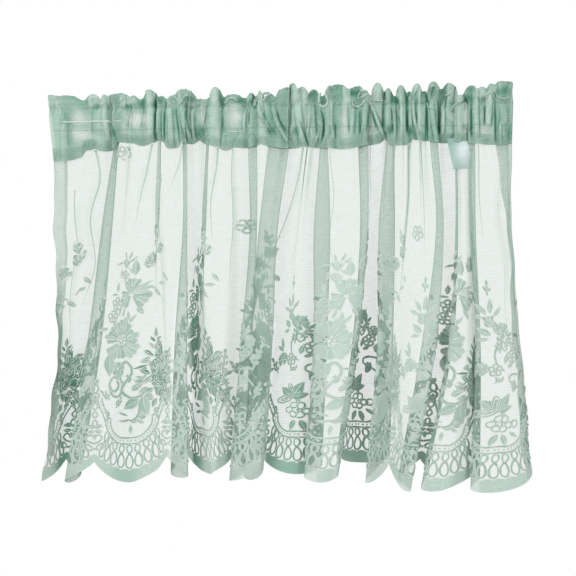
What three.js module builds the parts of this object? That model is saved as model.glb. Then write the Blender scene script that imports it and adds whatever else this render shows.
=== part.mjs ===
// Lace valance: a sheer, scallop-hemmed curtain gathered on its rod pocket.
// Millimetres, +Z up. X runs along the rod, -Y is the room side.
// The origin is in the middle of the stitch line that closes the top of the rod pocket.
import * as THREE from "three";

// Driving sizes
const CLOTH = 1.2; // thickness of one ply, with its lace relief
const FLAT_WIDTH = 1524; // width of the cloth before it is gathered
const REPEAT = 112.5; // width of one hem scallop, flat
const FIRST_CUSP = 44; // flat distance from the left side edge to the first cusp
const SCALLOP = 34; // how far a scallop hangs below its cusps
const HEM_LINE = -535; // height of the cusps
const DROP = 471; // flat length from the pocket seam to the cusps
const SEAM_GAP = 2; // clear space between the heading and the skirt
const FADE = 0.3; // share of the drop over which the gathers die out
const SKIRT_ROWS = 9;
const STEPS_PER_FOLD_LINE = [2, 3]; // across an open stretch, across a folded one

// Where along the drop the four x columns of the fold lines are given
const LEVELS = [0, 0.27, 0.625, 1.02];

// turn: the way the cloth faces on the fold line
const ON = 0; // passes on along the rod
const OUT = -1; // turns towards the room
const IN = 1; // turns towards the window

// The fold lines of the skirt, from the left side edge to the right one
// flat: place on the flat cloth; x: place at the four levels; y: depth at seam and hem;
// lift: how much the hem rides up there
const FOLD_LINES = [
  { name: "left edge", flat: 0, turn: ON, x: [-353, -352, -346, -367], y: [-2, -8], lift: -2 },
  { name: "side hem", flat: 22, turn: ON, x: [-335, -335, -344, -354], y: [1, 8], lift: -3 },
  { name: "left hollow", flat: 44, turn: ON, x: [-302, -307, -325, -341], y: [5, 22], lift: -2 },
  { name: "fold 1 back", flat: 71, turn: OUT, x: [-253, -265, -283, -314], y: [5, 22], lift: 0 },
  { name: "fold 1 front", flat: 118, turn: OUT, x: [-260, -278, -298, -328], y: [-5, -18], lift: -1 },
  { name: "scallop 2 end", flat: 156, turn: ON, x: [-244, -255, -269, -289], y: [-3, -12], lift: -2 },
  { name: "open panel", flat: 212, turn: ON, x: [-220, -226, -233, -236], y: [2, -2], lift: 1 },
  { name: "fold 2 back", flat: 240, turn: ON, x: [-187, -190, -203, -204], y: [1, -6], lift: 5 },
  { name: "fold 2 front", flat: 250, turn: ON, x: [-191, -195, -187, -191], y: [-5, -8], lift: 6 },
  { name: "scallop 3 end", flat: 271, turn: ON, x: [-169, -170, -173, -174], y: [-3, -12], lift: 8 },
  { name: "fold 3 front", flat: 300, turn: IN, x: [-146, -145, -144, -142], y: [-5, -20], lift: 8 },
  { name: "fold 3 back", flat: 347, turn: IN, x: [-154, -155, -168, -175], y: [4, 18], lift: 9 },
  { name: "hollow 4", flat: 382, turn: ON, x: [-134, -137, -140, -153], y: [5, 30], lift: 9 },
  { name: "fold 4 back", flat: 416, turn: ON, x: [-114, -119, -127, -130], y: [4, 14], lift: 15 },
  { name: "fold 4 front", flat: 432, turn: ON, x: [-117, -123, -115, -114], y: [-4, -12], lift: 17 },
  { name: "swell 4", flat: 458, turn: ON, x: [-87, -86, -91, -101], y: [-3, -24], lift: 15 },
  { name: "scallop 5 end", flat: 494, turn: ON, x: [-66, -65, -69, -79], y: [2, 4], lift: 7 },
  { name: "fold 5 left back", flat: 518, turn: OUT, x: [-40, -41, -49, -62], y: [4, 14], lift: 6 },
  { name: "fold 5 left", flat: 555, turn: OUT, x: [-53, -50, -63, -78], y: [-5, -12], lift: 6 },
  { name: "fold 5 face", flat: 580, turn: ON, x: [-28, -29, -38, -52], y: [-8, -32], lift: 4 },
  { name: "fold 5 right", flat: 609, turn: IN, x: [9, -8, -15, -28], y: [-5, -18], lift: 0 },
  { name: "fold 5 right back", flat: 690, turn: IN, x: [-24, -39, -53, -64], y: [6, 28], lift: 8 },
  { name: "hollow 6", flat: 722, turn: ON, x: [29, 16, -14, -35], y: [2, 10], lift: 10 },
  { name: "swell 6", flat: 775, turn: ON, x: [42, 28, 24, 21], y: [0, -6], lift: 16 },
  { name: "fold 6 back", flat: 815, turn: OUT, x: [67, 70, 65, 57], y: [4, 16], lift: 12 },
  { name: "fold 6 front", flat: 862, turn: OUT, x: [56, 47, 48, 36], y: [-5, -26], lift: 9 },
  { name: "fold 6 face", flat: 888, turn: ON, x: [90, 93, 89, 64], y: [-6, -36], lift: 8 },
  { name: "fold 7 front", flat: 914, turn: IN, x: [128, 128, 114, 87], y: [-5, -20], lift: 10 },
  { name: "fold 7 back", flat: 950, turn: IN, x: [112, 115, 104, 79], y: [4, 16], lift: 24 },
  { name: "hollow 8", flat: 1000, turn: ON, x: [143, 135, 125, 108], y: [5, 32], lift: 30 },
  { name: "fold 8 back", flat: 1050, turn: OUT, x: [166, 167, 164, 159], y: [4, 16], lift: 20 },
  { name: "fold 8 front", flat: 1103, turn: OUT, x: [156, 144, 144, 128], y: [-5, -26], lift: 9 },
  { name: "scallop 10 end", flat: 1169, turn: ON, x: [178, 178, 168, 158], y: [-3, -2], lift: 0 },
  { name: "swell 9", flat: 1215, turn: ON, x: [205, 206, 195, 184], y: [1, -22], lift: -3 },
  { name: "fold 9 front", flat: 1232, turn: IN, x: [231, 240, 229, 196], y: [-5, -24], lift: -3 },
  { name: "fold 9 back", flat: 1256, turn: IN, x: [219, 228, 207, 173], y: [4, 12], lift: 2 },
  { name: "hollow 10", flat: 1282, turn: ON, x: [244, 247, 238, 202], y: [4, 26], lift: 5 },
  { name: "fold 10 back", flat: 1297, turn: OUT, x: [259, 261, 253, 217], y: [3, 16], lift: 2 },
  { name: "fold 10 front", flat: 1320, turn: OUT, x: [256, 257, 248, 211], y: [-4, -14], lift: -2 },
  { name: "fold 10 face", flat: 1358, turn: ON, x: [268, 271, 271, 248], y: [-3, -28], lift: -3 },
  { name: "fold 11 back", flat: 1404, turn: OUT, x: [286, 287, 294, 293], y: [5, 14], lift: -9 },
  { name: "fold 11 front", flat: 1419, turn: OUT, x: [276, 278, 287, 280], y: [-6, -14], lift: -8 },
  { name: "fold 11 face", flat: 1456, turn: ON, x: [305, 311, 321, 320], y: [-4, -24], lift: -3 },
  { name: "fold 12 outer", flat: 1506, turn: IN, x: [340, 340, 353, 369], y: [0, -2], lift: -7 },
  { name: "right edge", flat: FLAT_WIDTH, turn: ON, x: [317, 334, 343, 359], y: [5, 12], lift: -6 },
];

// The wavy seam at the foot of the rod pocket: x, z
const SEAM = [
  [-361, -77], [-318, -70], [-300, -63], [-258, -56], [-225, -56], [-199, -52], [-167, -61],
  [-139, -54], [-120, -58], [-92, -65], [-5, -64.5], [60, -65], [112, -68], [150, -61],
  [172, -69], [200, -58], [237, -61], [316, -65], [341, -63],
];

// The gathers of the heading: x, height of the ruffle's top, lean (- to the room, + to the window)
const GATHERS = [
  [-360, 21, 0], [-343, 22, -3], [-320, 16, 3], [-293, 22, -7], [-283, 13, 5], [-271, 20, -6],
  [-262, 15, 4], [-243, 21, -5], [-221, 16, 6], [-204, 27, -6], [-188, 17, 4], [-178, 15, -3],
  [-160, 24, -7], [-150, 17, 5], [-140, 25, -6], [-126, 4, 2], [-114, 8, 4], [-103, 26, -8],
  [-92, 14, 6], [-79, 21, -5], [-64, 10, 5], [-53, 16, -5], [-40, 20, -6], [-30, 12, 6],
  [-16, 23, -6], [-3, 22, 5], [15, 33, -8], [27, 22, 4], [42, 20, -5], [52, 18, 5], [60, 9, -8],
  [71, 19, 5], [81, 29, 6], [97, 22, -4], [113, 27, 5], [127, 16, -7], [143, 33, -6], [152, 21, 5],
  [161, 23, -5], [172, 8, 4], [179, 26, -7], [189, 13, 5], [200, 29, -7], [209, 16, 6], [217, 18, -5],
  [227, 30, -7], [239, 22, 6], [249, 28, -6], [262, 13, 5], [276, 23, -5], [286, 18, 6],
  [299, 15, -4], [312, 28, 5], [326, 28, 7], [341, 22, 0],
];

// The rod pocket's half depth, outside, from its foot to the stitch line: share of height, depth
const POCKET_FACE = [[0, 1.8], [0.22, 9], [0.5, 10.5], [0.82, 9], [1, 1.8]];
const POCKET_RIPPLE = 0.3; // share of a gather's lean that the pocket takes
const RUFFLE_HALF = 1.3; // half the thickness of the doubled ruffle
const TUNNEL = { low: 0.12, high: 0.92 }; // foot and top of the tunnel, as shares of the height

// The blank label sewn in at the pocket seam
const LABEL = { x: 258, y: -7.6, top: -54, width: 30, length: 44, thick: 1, tilt: 0.1, bow: 1.5, out: 3.5 };
const LABEL_BEND = 0.4; // share of the label's length in which it comes out over the skirt

const smooth = (t) => t * t * (3 - 2 * t);

/** The smooth value at x of a table of rows [x, ...], in its given column. */
function tableAt(table, x, column) {
  const last = table.length - 1;
  if (x <= table[0][0]) return table[0][column];
  if (x >= table[last][0]) return table[last][column];
  const i = table.findIndex((row) => row[0] > x) - 1;
  const [a, b] = [table[i], table[i + 1]];
  return a[column] + (b[column] - a[column]) * smooth((x - a[0]) / (b[0] - a[0]));
}

/** A cubic between two values with the given slopes, at share t of a step that is long. */
function cubic(a, slopeA, b, slopeB, t, long) {
  const t2 = t * t;
  const t3 = t2 * t;
  const value = (2 * t3 - 3 * t2 + 1) * a + (3 * t2 - 2 * t3) * b;
  return value + ((t3 - 2 * t2 + t) * slopeA + (t3 - t2) * slopeB) * long;
}

/** The smooth value at level w of the four numbers given at LEVELS. */
function downTheDrop(values, w) {
  const slope = (i, j) => (values[j] - values[i]) / (LEVELS[j] - LEVELS[i]);
  const slopes = [slope(0, 1), slope(0, 2), slope(1, 3), slope(2, 3)];
  if (w >= LEVELS[3]) return values[3] + slopes[3] * (w - LEVELS[3]);
  const i = w < LEVELS[1] ? 0 : w < LEVELS[2] ? 1 : 2;
  const long = LEVELS[i + 1] - LEVELS[i];
  return cubic(values[i], slopes[i], values[i + 1], slopes[i + 1], (w - LEVELS[i]) / long, long);
}

/** The slope at a fold line where the cloth passes on, kept low enough not to double back. */
function passingSlope(before, spot, after, key) {
  const slope = (a, b) => (b.flat > a.flat ? (b[key] - a[key]) / (b.flat - a.flat) : 0);
  const [rise, fall] = [slope(before, spot), slope(spot, after)];
  if (before === spot || after === spot) return rise + fall;
  if (rise * fall <= 0) return 0;
  const least = 2 * Math.min(Math.abs(rise), Math.abs(fall));
  return Math.sign(rise) * Math.min(Math.abs(slope(before, after)), least);
}

/** The fold lines' places and directions at level w. */
function foldLinesAt(w) {
  const spots = FOLD_LINES.map((line) => ({
    ...line,
    px: downTheDrop(line.x, w),
    py: line.y[0] + (line.y[1] - line.y[0]) * w,
  }));
  const pull = 0.35 + 0.65 * w; // the cloth is more tightly gathered at the top
  return spots.map((spot, i) => {
    const before = spots[Math.max(i - 1, 0)];
    const after = spots[Math.min(i + 1, spots.length - 1)];
    const passing = {
      dx: passingSlope(before, spot, after, "px"),
      dy: passingSlope(before, spot, after, "py"),
    };
    const turning = { dx: 0, dy: spot.turn * pull };
    return { ...spot, ...(spot.turn === ON ? passing : turning) };
  });
}

/** Depth of a scallop at a place on the flat cloth, from 0 at a cusp to 1 at its lowest. */
function scallop(flat) {
  return Math.abs(Math.sin((Math.PI * (flat - FIRST_CUSP)) / REPEAT)) ** 0.9;
}

/** The skirt's middle surface at one place on the flat cloth and one level. */
function skirtPoint(spots, flat, w) {
  const i = Math.min(Math.max(spots.findIndex((s) => s.flat > flat) - 1, 0), spots.length - 2);
  const end = flat >= FLAT_WIDTH ? spots.length - 2 : i;
  const [a, b] = [spots[end], spots[end + 1]];
  const long = b.flat - a.flat;
  const t = (flat - a.flat) / long;
  const x = cubic(a.px, a.dx, b.px, b.dx, t, long);
  const fade = Math.max(0, 1 - w / FADE) ** 2;
  const y = cubic(a.py, a.dy, b.py, b.dy, t, long) + fade * POCKET_RIPPLE * tableAt(GATHERS, x, 2);
  const lift = a.lift + (b.lift - a.lift) * smooth(t);
  return { x, y, lift };
}

/** Flat places at which the skirt is cut into columns. */
function skirtColumns() {
  const columns = [0];
  for (let i = 1; i < FOLD_LINES.length; i += 1) {
    const [a, b] = [FOLD_LINES[i - 1], FOLD_LINES[i]];
    const folded = a.turn !== ON || b.turn !== ON;
    const steps = STEPS_PER_FOLD_LINE[folded ? 1 : 0];
    for (let k = 1; k <= steps; k += 1) columns.push(a.flat + ((b.flat - a.flat) * k) / steps);
  }
  return columns;
}

/** A closed body from two facing grids of points, front and back, rows of equal length. */
function closedSheet(front, back) {
  const rows = front.length;
  const columns = front[0].length;
  const points = [...front.flat(), ...back.flat()];
  const at = (side, r, c) => side * rows * columns + r * columns + c;
  const faces = [];
  const quad = (a, b, c, d) => faces.push(a, b, c, a, c, d);
  for (let r = 0; r < rows - 1; r += 1) {
    for (let c = 0; c < columns - 1; c += 1) {
      quad(at(0, r, c), at(0, r + 1, c), at(0, r + 1, c + 1), at(0, r, c + 1));
      quad(at(1, r, c), at(1, r, c + 1), at(1, r + 1, c + 1), at(1, r + 1, c));
    }
  }
  for (let r = 0; r < rows - 1; r += 1) {
    const right = columns - 1;
    quad(at(0, r, 0), at(1, r, 0), at(1, r + 1, 0), at(0, r + 1, 0));
    quad(at(0, r, right), at(0, r + 1, right), at(1, r + 1, right), at(1, r, right));
  }
  for (let c = 0; c < columns - 1; c += 1) {
    const foot = rows - 1;
    quad(at(0, 0, c), at(0, 0, c + 1), at(1, 0, c + 1), at(1, 0, c));
    quad(at(0, foot, c), at(1, foot, c), at(1, foot, c + 1), at(0, foot, c + 1));
  }
  return solidFrom(points, faces);
}

function solidFrom(points, faces) {
  const geometry = new THREE.BufferGeometry();
  geometry.setAttribute("position", new THREE.Float32BufferAttribute(points.flat(), 3));
  geometry.setIndex(faces);
  geometry.computeVertexNormals();
  return geometry;
}

/** The hanging skirt: one sheet from the pocket seam to the scalloped hem. */
function skirt() {
  const columns = skirtColumns();
  const seamSpots = foldLinesAt(0);
  const tops = columns.map((flat) => tableAt(SEAM, skirtPoint(seamSpots, flat, 0).x, 1) - SEAM_GAP);
  const front = [];
  const back = [];
  for (let r = 0; r <= SKIRT_ROWS; r += 1) {
    const share = r / SKIRT_ROWS;
    const middle = columns.map((flat, c) => {
      const w = share * (1 + (SCALLOP * scallop(flat)) / DROP);
      const point = skirtPoint(foldLinesAt(w), flat, w);
      const z = tops[c] + (HEM_LINE + point.lift - tops[c]) * w;
      return { ...point, z };
    });
    const normals = middle.map((_, c) => {
      const before = middle[Math.max(c - 1, 0)];
      const after = middle[Math.min(c + 1, middle.length - 1)];
      const length = Math.hypot(after.x - before.x, after.y - before.y);
      return [(after.y - before.y) / length, -(after.x - before.x) / length];
    });
    const moved = (side) => middle.map((point, c) => {
      const offset = (side * CLOTH) / 2;
      return [point.x + normals[c][0] * offset, point.y + normals[c][1] * offset, point.z];
    });
    front.push(moved(1));
    back.push(moved(-1));
  }
  return closedSheet(front, back);
}

/** The ring of a heading section: outer points up the room side and down the window side. */
function headingSection(x) {
  const foot = tableAt(SEAM, x, 1);
  const top = tableAt(GATHERS, x, 1);
  const lean = tableAt(GATHERS, x, 2);
  const side = (sign) => POCKET_FACE.map(([share, depth]) => {
    const ripple = sign * POCKET_RIPPLE * lean * Math.sin(Math.PI * share);
    return [sign * depth + ripple, foot * (1 - share)];
  });
  const ruffle = (sign) => [
    [sign * RUFFLE_HALF + lean * 0.7, top * 0.5],
    [sign * RUFFLE_HALF + lean, top],
  ];
  const outer = [...side(-1), ...ruffle(-1), ...ruffle(1).reverse(), ...side(1).reverse()];
  const wall = (sign) => [TUNNEL.low, 0.5, TUNNEL.high].map((share) => {
    const depth = tableAt(POCKET_FACE, share, 1) - CLOTH;
    const ripple = sign * POCKET_RIPPLE * lean * Math.sin(Math.PI * share);
    return [sign * depth + ripple, foot * (1 - share)];
  });
  const inner = [...wall(-1), ...wall(1).reverse()];
  return { outer, inner };
}

/** The heading: rod pocket, open from end to end, with the ruffle that stands above it. */
function heading() {
  const columns = GATHERS.flatMap(([x], i) => (i ? [(GATHERS[i - 1][0] + x) / 2, x] : [x]));
  const sections = columns.map(headingSection);
  const outerCount = sections[0].outer.length;
  const innerCount = sections[0].inner.length;
  const ring = outerCount + innerCount;
  const points = sections.flatMap(({ outer, inner }, c) =>
    [...outer, ...inner].map(([y, z]) => [columns[c], y, z]));
  const faces = [];
  const band = (first, count, outwards) => {
    for (let c = 0; c < columns.length - 1; c += 1) {
      for (let k = 0; k < count; k += 1) {
        const a = c * ring + first + k;
        const b = c * ring + first + ((k + 1) % count);
        const [p, q] = outwards ? [a, b] : [b, a];
        faces.push(p, p + ring, q + ring, p, q + ring, q);
      }
    }
  };
  band(0, outerCount, true);
  band(outerCount, innerCount, false);
  const cap = (c, flipped) => {
    const flatten = (list) => list.map(([y, z]) => new THREE.Vector2(y, z));
    const { outer, inner } = sections[c];
    const triangles = THREE.ShapeUtils.triangulateShape(flatten(outer), [flatten(inner)]);
    const start = c * ring;
    triangles.forEach(([i, j, k]) => {
      faces.push(start + i, start + (flipped ? k : j), start + (flipped ? j : k));
    });
  };
  cap(0, true);
  cap(columns.length - 1, false);
  return solidFrom(points, faces);
}

/** The blank label: a thin satin tab, hung askew from the pocket's foot and out over the skirt. */
function label() {
  const { width, length, thick, bow, out } = LABEL;
  const geometry = new THREE.BoxGeometry(width, thick, length, 4, 1, 10);
  geometry.translate(0, 0, -length / 2);
  const position = geometry.getAttribute("position");
  for (let i = 0; i < position.count; i += 1) {
    const across = position.getX(i) / (width / 2);
    const bend = smooth(Math.min(-position.getZ(i) / length / LABEL_BEND, 1));
    position.setY(i, position.getY(i) - (bow * (1 - across * across) + out) * bend);
  }
  geometry.computeVertexNormals();
  return geometry;
}

function fabric(color, roughness) {
  return new THREE.MeshStandardMaterial({ color, roughness, metalness: 0, side: THREE.DoubleSide });
}

function named(name, geometry, material) {
  const mesh = new THREE.Mesh(geometry, material);
  mesh.name = name;
  return mesh;
}

const valance = new THREE.Group();
valance.add(named("lace_panel", skirt(), fabric(0xa9c9bc, 0.85)));
valance.add(named("heading", heading(), fabric(0x8fb9aa, 0.85)));
const tab = named("label_tab", label(), fabric(0xd9e8e6, 0.4));
tab.position.set(LABEL.x, LABEL.y, LABEL.top);
tab.rotation.y = LABEL.tilt;
valance.add(tab);

export default valance;
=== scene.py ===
"""A sheer lace valance, gathered on its rod pocket, with flower bouquets and a scalloped hem.

The cloth is laid out flat in millimetres: u runs along the cloth from its left side edge, h is
the height above the line of the hem's cusps. The pattern is cut flat, and then it is hung: each
flat place has its place on the folded cloth. +Z is up, X runs along the rod, -Y is the room.
"""
import itertools
import math

import bmesh
import bpy
import numpy as np
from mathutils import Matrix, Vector


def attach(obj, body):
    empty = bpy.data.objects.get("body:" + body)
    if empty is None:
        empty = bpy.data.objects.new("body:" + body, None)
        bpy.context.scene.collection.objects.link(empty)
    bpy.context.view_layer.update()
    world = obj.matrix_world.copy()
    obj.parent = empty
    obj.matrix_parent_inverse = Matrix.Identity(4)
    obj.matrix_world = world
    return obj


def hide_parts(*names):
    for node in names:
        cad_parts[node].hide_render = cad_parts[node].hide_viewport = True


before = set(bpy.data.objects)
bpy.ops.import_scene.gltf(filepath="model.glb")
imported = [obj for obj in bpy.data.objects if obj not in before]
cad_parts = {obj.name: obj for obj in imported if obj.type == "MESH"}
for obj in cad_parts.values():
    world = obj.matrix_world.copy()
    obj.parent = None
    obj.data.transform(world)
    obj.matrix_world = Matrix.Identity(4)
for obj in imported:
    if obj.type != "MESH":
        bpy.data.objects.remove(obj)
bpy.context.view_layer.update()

MM = 0.001

# ---------------------------------------------------------------- sizes of the cloth, in mm
FLAT_WIDTH = 1524.0  # width of the cloth before it is gathered
REPEAT = 112.5  # width of one hem scallop, flat
FIRST_CUSP = 44.0  # flat distance from the left side edge to the first cusp
SCALLOP = 34.0  # how far a scallop hangs below its cusps
HEM_LINE = -535.0  # height of the cusps
DROP = 471.0  # flat length from the pocket seam to the cusps
SCALLOPS = 14
SIDE_HEM = 15.5  # width of the turned side hems
POCKET_HEM = 15.0  # height of the hem turned in at the foot of the pocket
POCKET_HIGH = 63.0  # height of the pocket
HEADING_FLAT = 190.0  # flat height of the pocket and the ruffle, front and back
OVER_NET = 0.35  # how far the pattern stands over the net

# A level is the share of the way down the drop, from 0 at the seam to 1 at the cusps.
# The four x columns of the fold lines are given at these levels
LEVELS = np.array([0.0, 0.27, 0.625, 1.02])
PASSES, TO_ROOM, TO_WINDOW = 0, -1, 1

# The fold lines, from the left side edge to the right one: place on the flat cloth, which way
# the cloth faces there, x at the four levels, y at the seam and at the hem, ride-up of the hem
FOLD_LINES = [
    (0, PASSES, (-353, -352, -346, -367), (-2, -8), -2),
    (22, PASSES, (-335, -335, -344, -354), (1, 8), -3),
    (44, PASSES, (-302, -307, -325, -341), (5, 22), -2),
    (71, TO_ROOM, (-253, -265, -283, -314), (5, 22), 0),
    (118, TO_ROOM, (-260, -278, -298, -328), (-5, -18), -1),
    (156, PASSES, (-244, -255, -269, -289), (-3, -12), -2),
    (212, PASSES, (-220, -226, -233, -236), (2, -2), 1),
    (240, PASSES, (-187, -190, -203, -204), (1, -6), 5),
    (250, PASSES, (-191, -195, -187, -191), (-5, -8), 6),
    (271, PASSES, (-169, -170, -173, -174), (-3, -12), 8),
    (300, TO_WINDOW, (-146, -145, -144, -142), (-5, -20), 8),
    (347, TO_WINDOW, (-154, -155, -168, -175), (4, 18), 9),
    (382, PASSES, (-134, -137, -140, -153), (5, 30), 9),
    (416, PASSES, (-114, -119, -127, -130), (4, 14), 15),
    (432, PASSES, (-117, -123, -115, -114), (-4, -12), 17),
    (458, PASSES, (-87, -86, -91, -101), (-3, -24), 15),
    (494, PASSES, (-66, -65, -69, -79), (2, 4), 7),
    (518, TO_ROOM, (-40, -41, -49, -62), (4, 14), 6),
    (555, TO_ROOM, (-53, -50, -63, -78), (-5, -12), 6),
    (580, PASSES, (-28, -29, -38, -52), (-8, -32), 4),
    (609, TO_WINDOW, (9, -8, -15, -28), (-5, -18), 0),
    (690, TO_WINDOW, (-24, -39, -53, -64), (6, 28), 8),
    (722, PASSES, (29, 16, -14, -35), (2, 10), 10),
    (775, PASSES, (42, 28, 24, 21), (0, -6), 16),
    (815, TO_ROOM, (67, 70, 65, 57), (4, 16), 12),
    (862, TO_ROOM, (56, 47, 48, 36), (-5, -26), 9),
    (888, PASSES, (90, 93, 89, 64), (-6, -36), 8),
    (914, TO_WINDOW, (128, 128, 114, 87), (-5, -20), 10),
    (950, TO_WINDOW, (112, 115, 104, 79), (4, 16), 24),
    (1000, PASSES, (143, 135, 125, 108), (5, 32), 30),
    (1050, TO_ROOM, (166, 167, 164, 159), (4, 16), 20),
    (1103, TO_ROOM, (156, 144, 144, 128), (-5, -26), 9),
    (1169, PASSES, (178, 178, 168, 158), (-3, -2), 0),
    (1215, PASSES, (205, 206, 195, 184), (1, -22), -3),
    (1232, TO_WINDOW, (231, 240, 229, 196), (-5, -24), -3),
    (1256, TO_WINDOW, (219, 228, 207, 173), (4, 12), 2),
    (1282, PASSES, (244, 247, 238, 202), (4, 26), 5),
    (1297, TO_ROOM, (259, 261, 253, 217), (3, 16), 2),
    (1320, TO_ROOM, (256, 257, 248, 211), (-4, -14), -2),
    (1358, PASSES, (268, 271, 271, 248), (-3, -28), -3),
    (1404, TO_ROOM, (286, 287, 294, 293), (5, 14), -9),
    (1419, TO_ROOM, (276, 278, 287, 280), (-6, -14), -8),
    (1456, PASSES, (305, 311, 321, 320), (-4, -24), -3),
    (1506, TO_WINDOW, (340, 340, 353, 369), (0, -2), -7),
    (1524, PASSES, (317, 334, 343, 359), (5, 12), -6),
]

# The seam at the foot of the rod pocket, in round scoops between sharp corners: x, z
SEAM = np.array([
    (-361, -79), (-341, -80), (-311, -75), (-305, -64), (-290, -61), (-275, -66), (-261, -64),
    (-253, -52), (-230, -54), (-216, -58), (-201, -54), (-190, -48), (-182, -53), (-175, -63),
    (-160, -62), (-154, -53), (-140, -56), (-129, -50), (-115, -57), (-99, -61), (-88, -67),
    (-74, -62), (-55, -63), (-33, -58), (-18, -62), (10, -65), (31, -62), (66, -65), (94, -67),
    (110, -64), (126, -61), (140, -59), (152, -52), (166, -62), (181, -62), (195, -53),
    (216, -56), (241, -59), (262, -57), (288, -61), (319, -63), (345, -59),
])

# The lobes of the ruffle: x, half width, height of the crest, lean (- room, + window)
LOBES = np.array([
    (-350, 16, 21, -3), (-331, 22, 22, 4), (-311, 12, 14, 5), (-292, 13, 23, -6), (-274, 6, 21, -9),
    (-253, 22, 23, 5), (-230, 10, 20, 4), (-216, 8, 15, 6), (-204, 12, 28, -8), (-187, 9, 18, 5),
    (-168, 13, 18, -4), (-150, 17, 27, -8), (-134, 8, 10, 4), (-119, 10, 3, 3), (-102, 9, 29, -9),
    (-90, 6, 14, 4), (-77, 17, 20, 5), (-60, 9, 9, 5), (-48, 8, 19, -5), (-41, 5, 13, 6),
    (-34, 5, 24, -7), (-20, 9, 19, 5), (3, 14, 28, 6), (15, 8, 35, -9), (29, 11, 27, -7),
    (46, 9, 25, 5), (60, 6, 8, -10), (81, 17, 32, 6), (95, 9, 24, 3), (110, 13, 29, 7),
    (125, 8, 18, -6), (142, 9, 33, -8), (157, 9, 23, 4), (168, 7, 8, 5), (177, 8, 27, -8),
    (188, 6, 19, 5), (200, 8, 30, -8), (210, 8, 20, 4), (225, 10, 32, -9), (236, 7, 23, 6),
    (248, 12, 31, -5), (261, 8, 11, 5), (280, 12, 26, 6), (296, 11, 24, -6), (310, 8, 29, 4),
    (328, 20, 33, 9), (345, 8, 26, 3),
], float)
# How far the lobes' crests sway sideways: x, sway
SWAYS = np.array([
    (-353, 0), (-204, 0), (-187, 1), (-168, -3), (-150, 2), (-119, 0), (-60, 0), (-41, -2),
    (-20, 3), (3, 3), (15, 0), (29, 3), (60, -2), (81, 3), (95, 0), (125, -3), (142, 4), (157, -1),
    (177, -4), (188, 0), (200, 4), (212, -2), (225, 3), (248, 4), (262, 0), (280, -4), (296, 0),
    (310, -2), (328, 1), (345, 0),
], float)
# How far the pocket stands out at its share of the way up: share, depth
POCKET_FACE = np.array([(0, 1.8), (0.22, 9), (0.5, 10.5), (0.82, 9), (1, 1.8)])


# ---------------------------------------------------------------- the hanging cloth
def smooth(t):
    return t * t * (3 - 2 * t)


def level_of(h):
    return (DROP - h) / DROP


def between(places, x):
    """Which two of a rising row of places each x lies between, and its share of the way."""
    i = np.clip(np.searchsorted(places, x, side="right") - 1, 0, len(places) - 2)
    return i, (x - places[i]) / (places[i + 1] - places[i])


def table_at(table, x, column):
    """Smooth values at x of a table of rows (x, ...), in the given column."""
    i, t = between(table[:, 0], np.clip(x, table[0, 0], table[-1, 0]))
    a, b = table[i, column], table[i + 1, column]
    return a + (b - a) * smooth(t)


def scooped(x):
    """Height of the pocket's foot at x: round in its low scoops, sharp at its high corners."""
    i, t = between(SEAM[:, 0], np.clip(x, SEAM[0, 0], SEAM[-1, 0]))
    a, b = SEAM[i, 1], SEAM[i + 1, 1]
    t = t * math.pi / 2
    return a + (b - a) * np.where(b < a, np.sin(t), 1 - np.cos(t))


def cubic(a, slope_a, b, slope_b, t, long):
    t2 = t * t
    t3 = t2 * t
    value = (2 * t3 - 3 * t2 + 1) * a + (3 * t2 - 2 * t3) * b
    return value + ((t3 - 2 * t2 + t) * slope_a + (t3 - t2) * slope_b) * long


def down_the_drop(values, level):
    """Smooth values at each level of the numbers given at LEVELS."""
    def slope(i, j):
        return (values[:, j] - values[:, i]) / (LEVELS[j] - LEVELS[i])
    slopes = np.stack([slope(0, 1), slope(0, 2), slope(1, 3), slope(2, 3)], axis=1)
    i, t = between(LEVELS, level)
    k = np.arange(len(level))
    long = LEVELS[i + 1] - LEVELS[i]
    inside = cubic(values[k, i], slopes[k, i], values[k, i + 1], slopes[k, i + 1], t, long)
    return np.where(level > LEVELS[3], values[:, 3] + slopes[:, 3] * (level - LEVELS[3]), inside)


LINE_FLAT, LINE_TURN, LINE_X, LINE_Y, LINE_LIFT = (
    np.array(column, float) for column in zip(*FOLD_LINES))


def spot(line, level):
    """Place of a fold line, by its number, at each level."""
    y = LINE_Y[line, 0] + (LINE_Y[line, 1] - LINE_Y[line, 0]) * level
    return down_the_drop(LINE_X[line], level), y


def passing_slope(before, here, after, flats):
    """Slope where the cloth passes on, kept low enough not to double back."""
    with np.errstate(divide="ignore", invalid="ignore"):
        rise = np.where(flats[1] > flats[0], (here - before) / (flats[1] - flats[0]), 0)
        fall = np.where(flats[2] > flats[1], (after - here) / (flats[2] - flats[1]), 0)
        wide = (after - before) / (flats[2] - flats[0])
    least = 2 * np.minimum(np.abs(rise), np.abs(fall))
    inner = np.where(rise * fall > 0, np.sign(rise) * np.minimum(np.abs(wide), least), 0)
    at_edge = (flats[1] <= flats[0]) | (flats[2] <= flats[1])
    return np.where(at_edge, rise + fall, inner)


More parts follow.
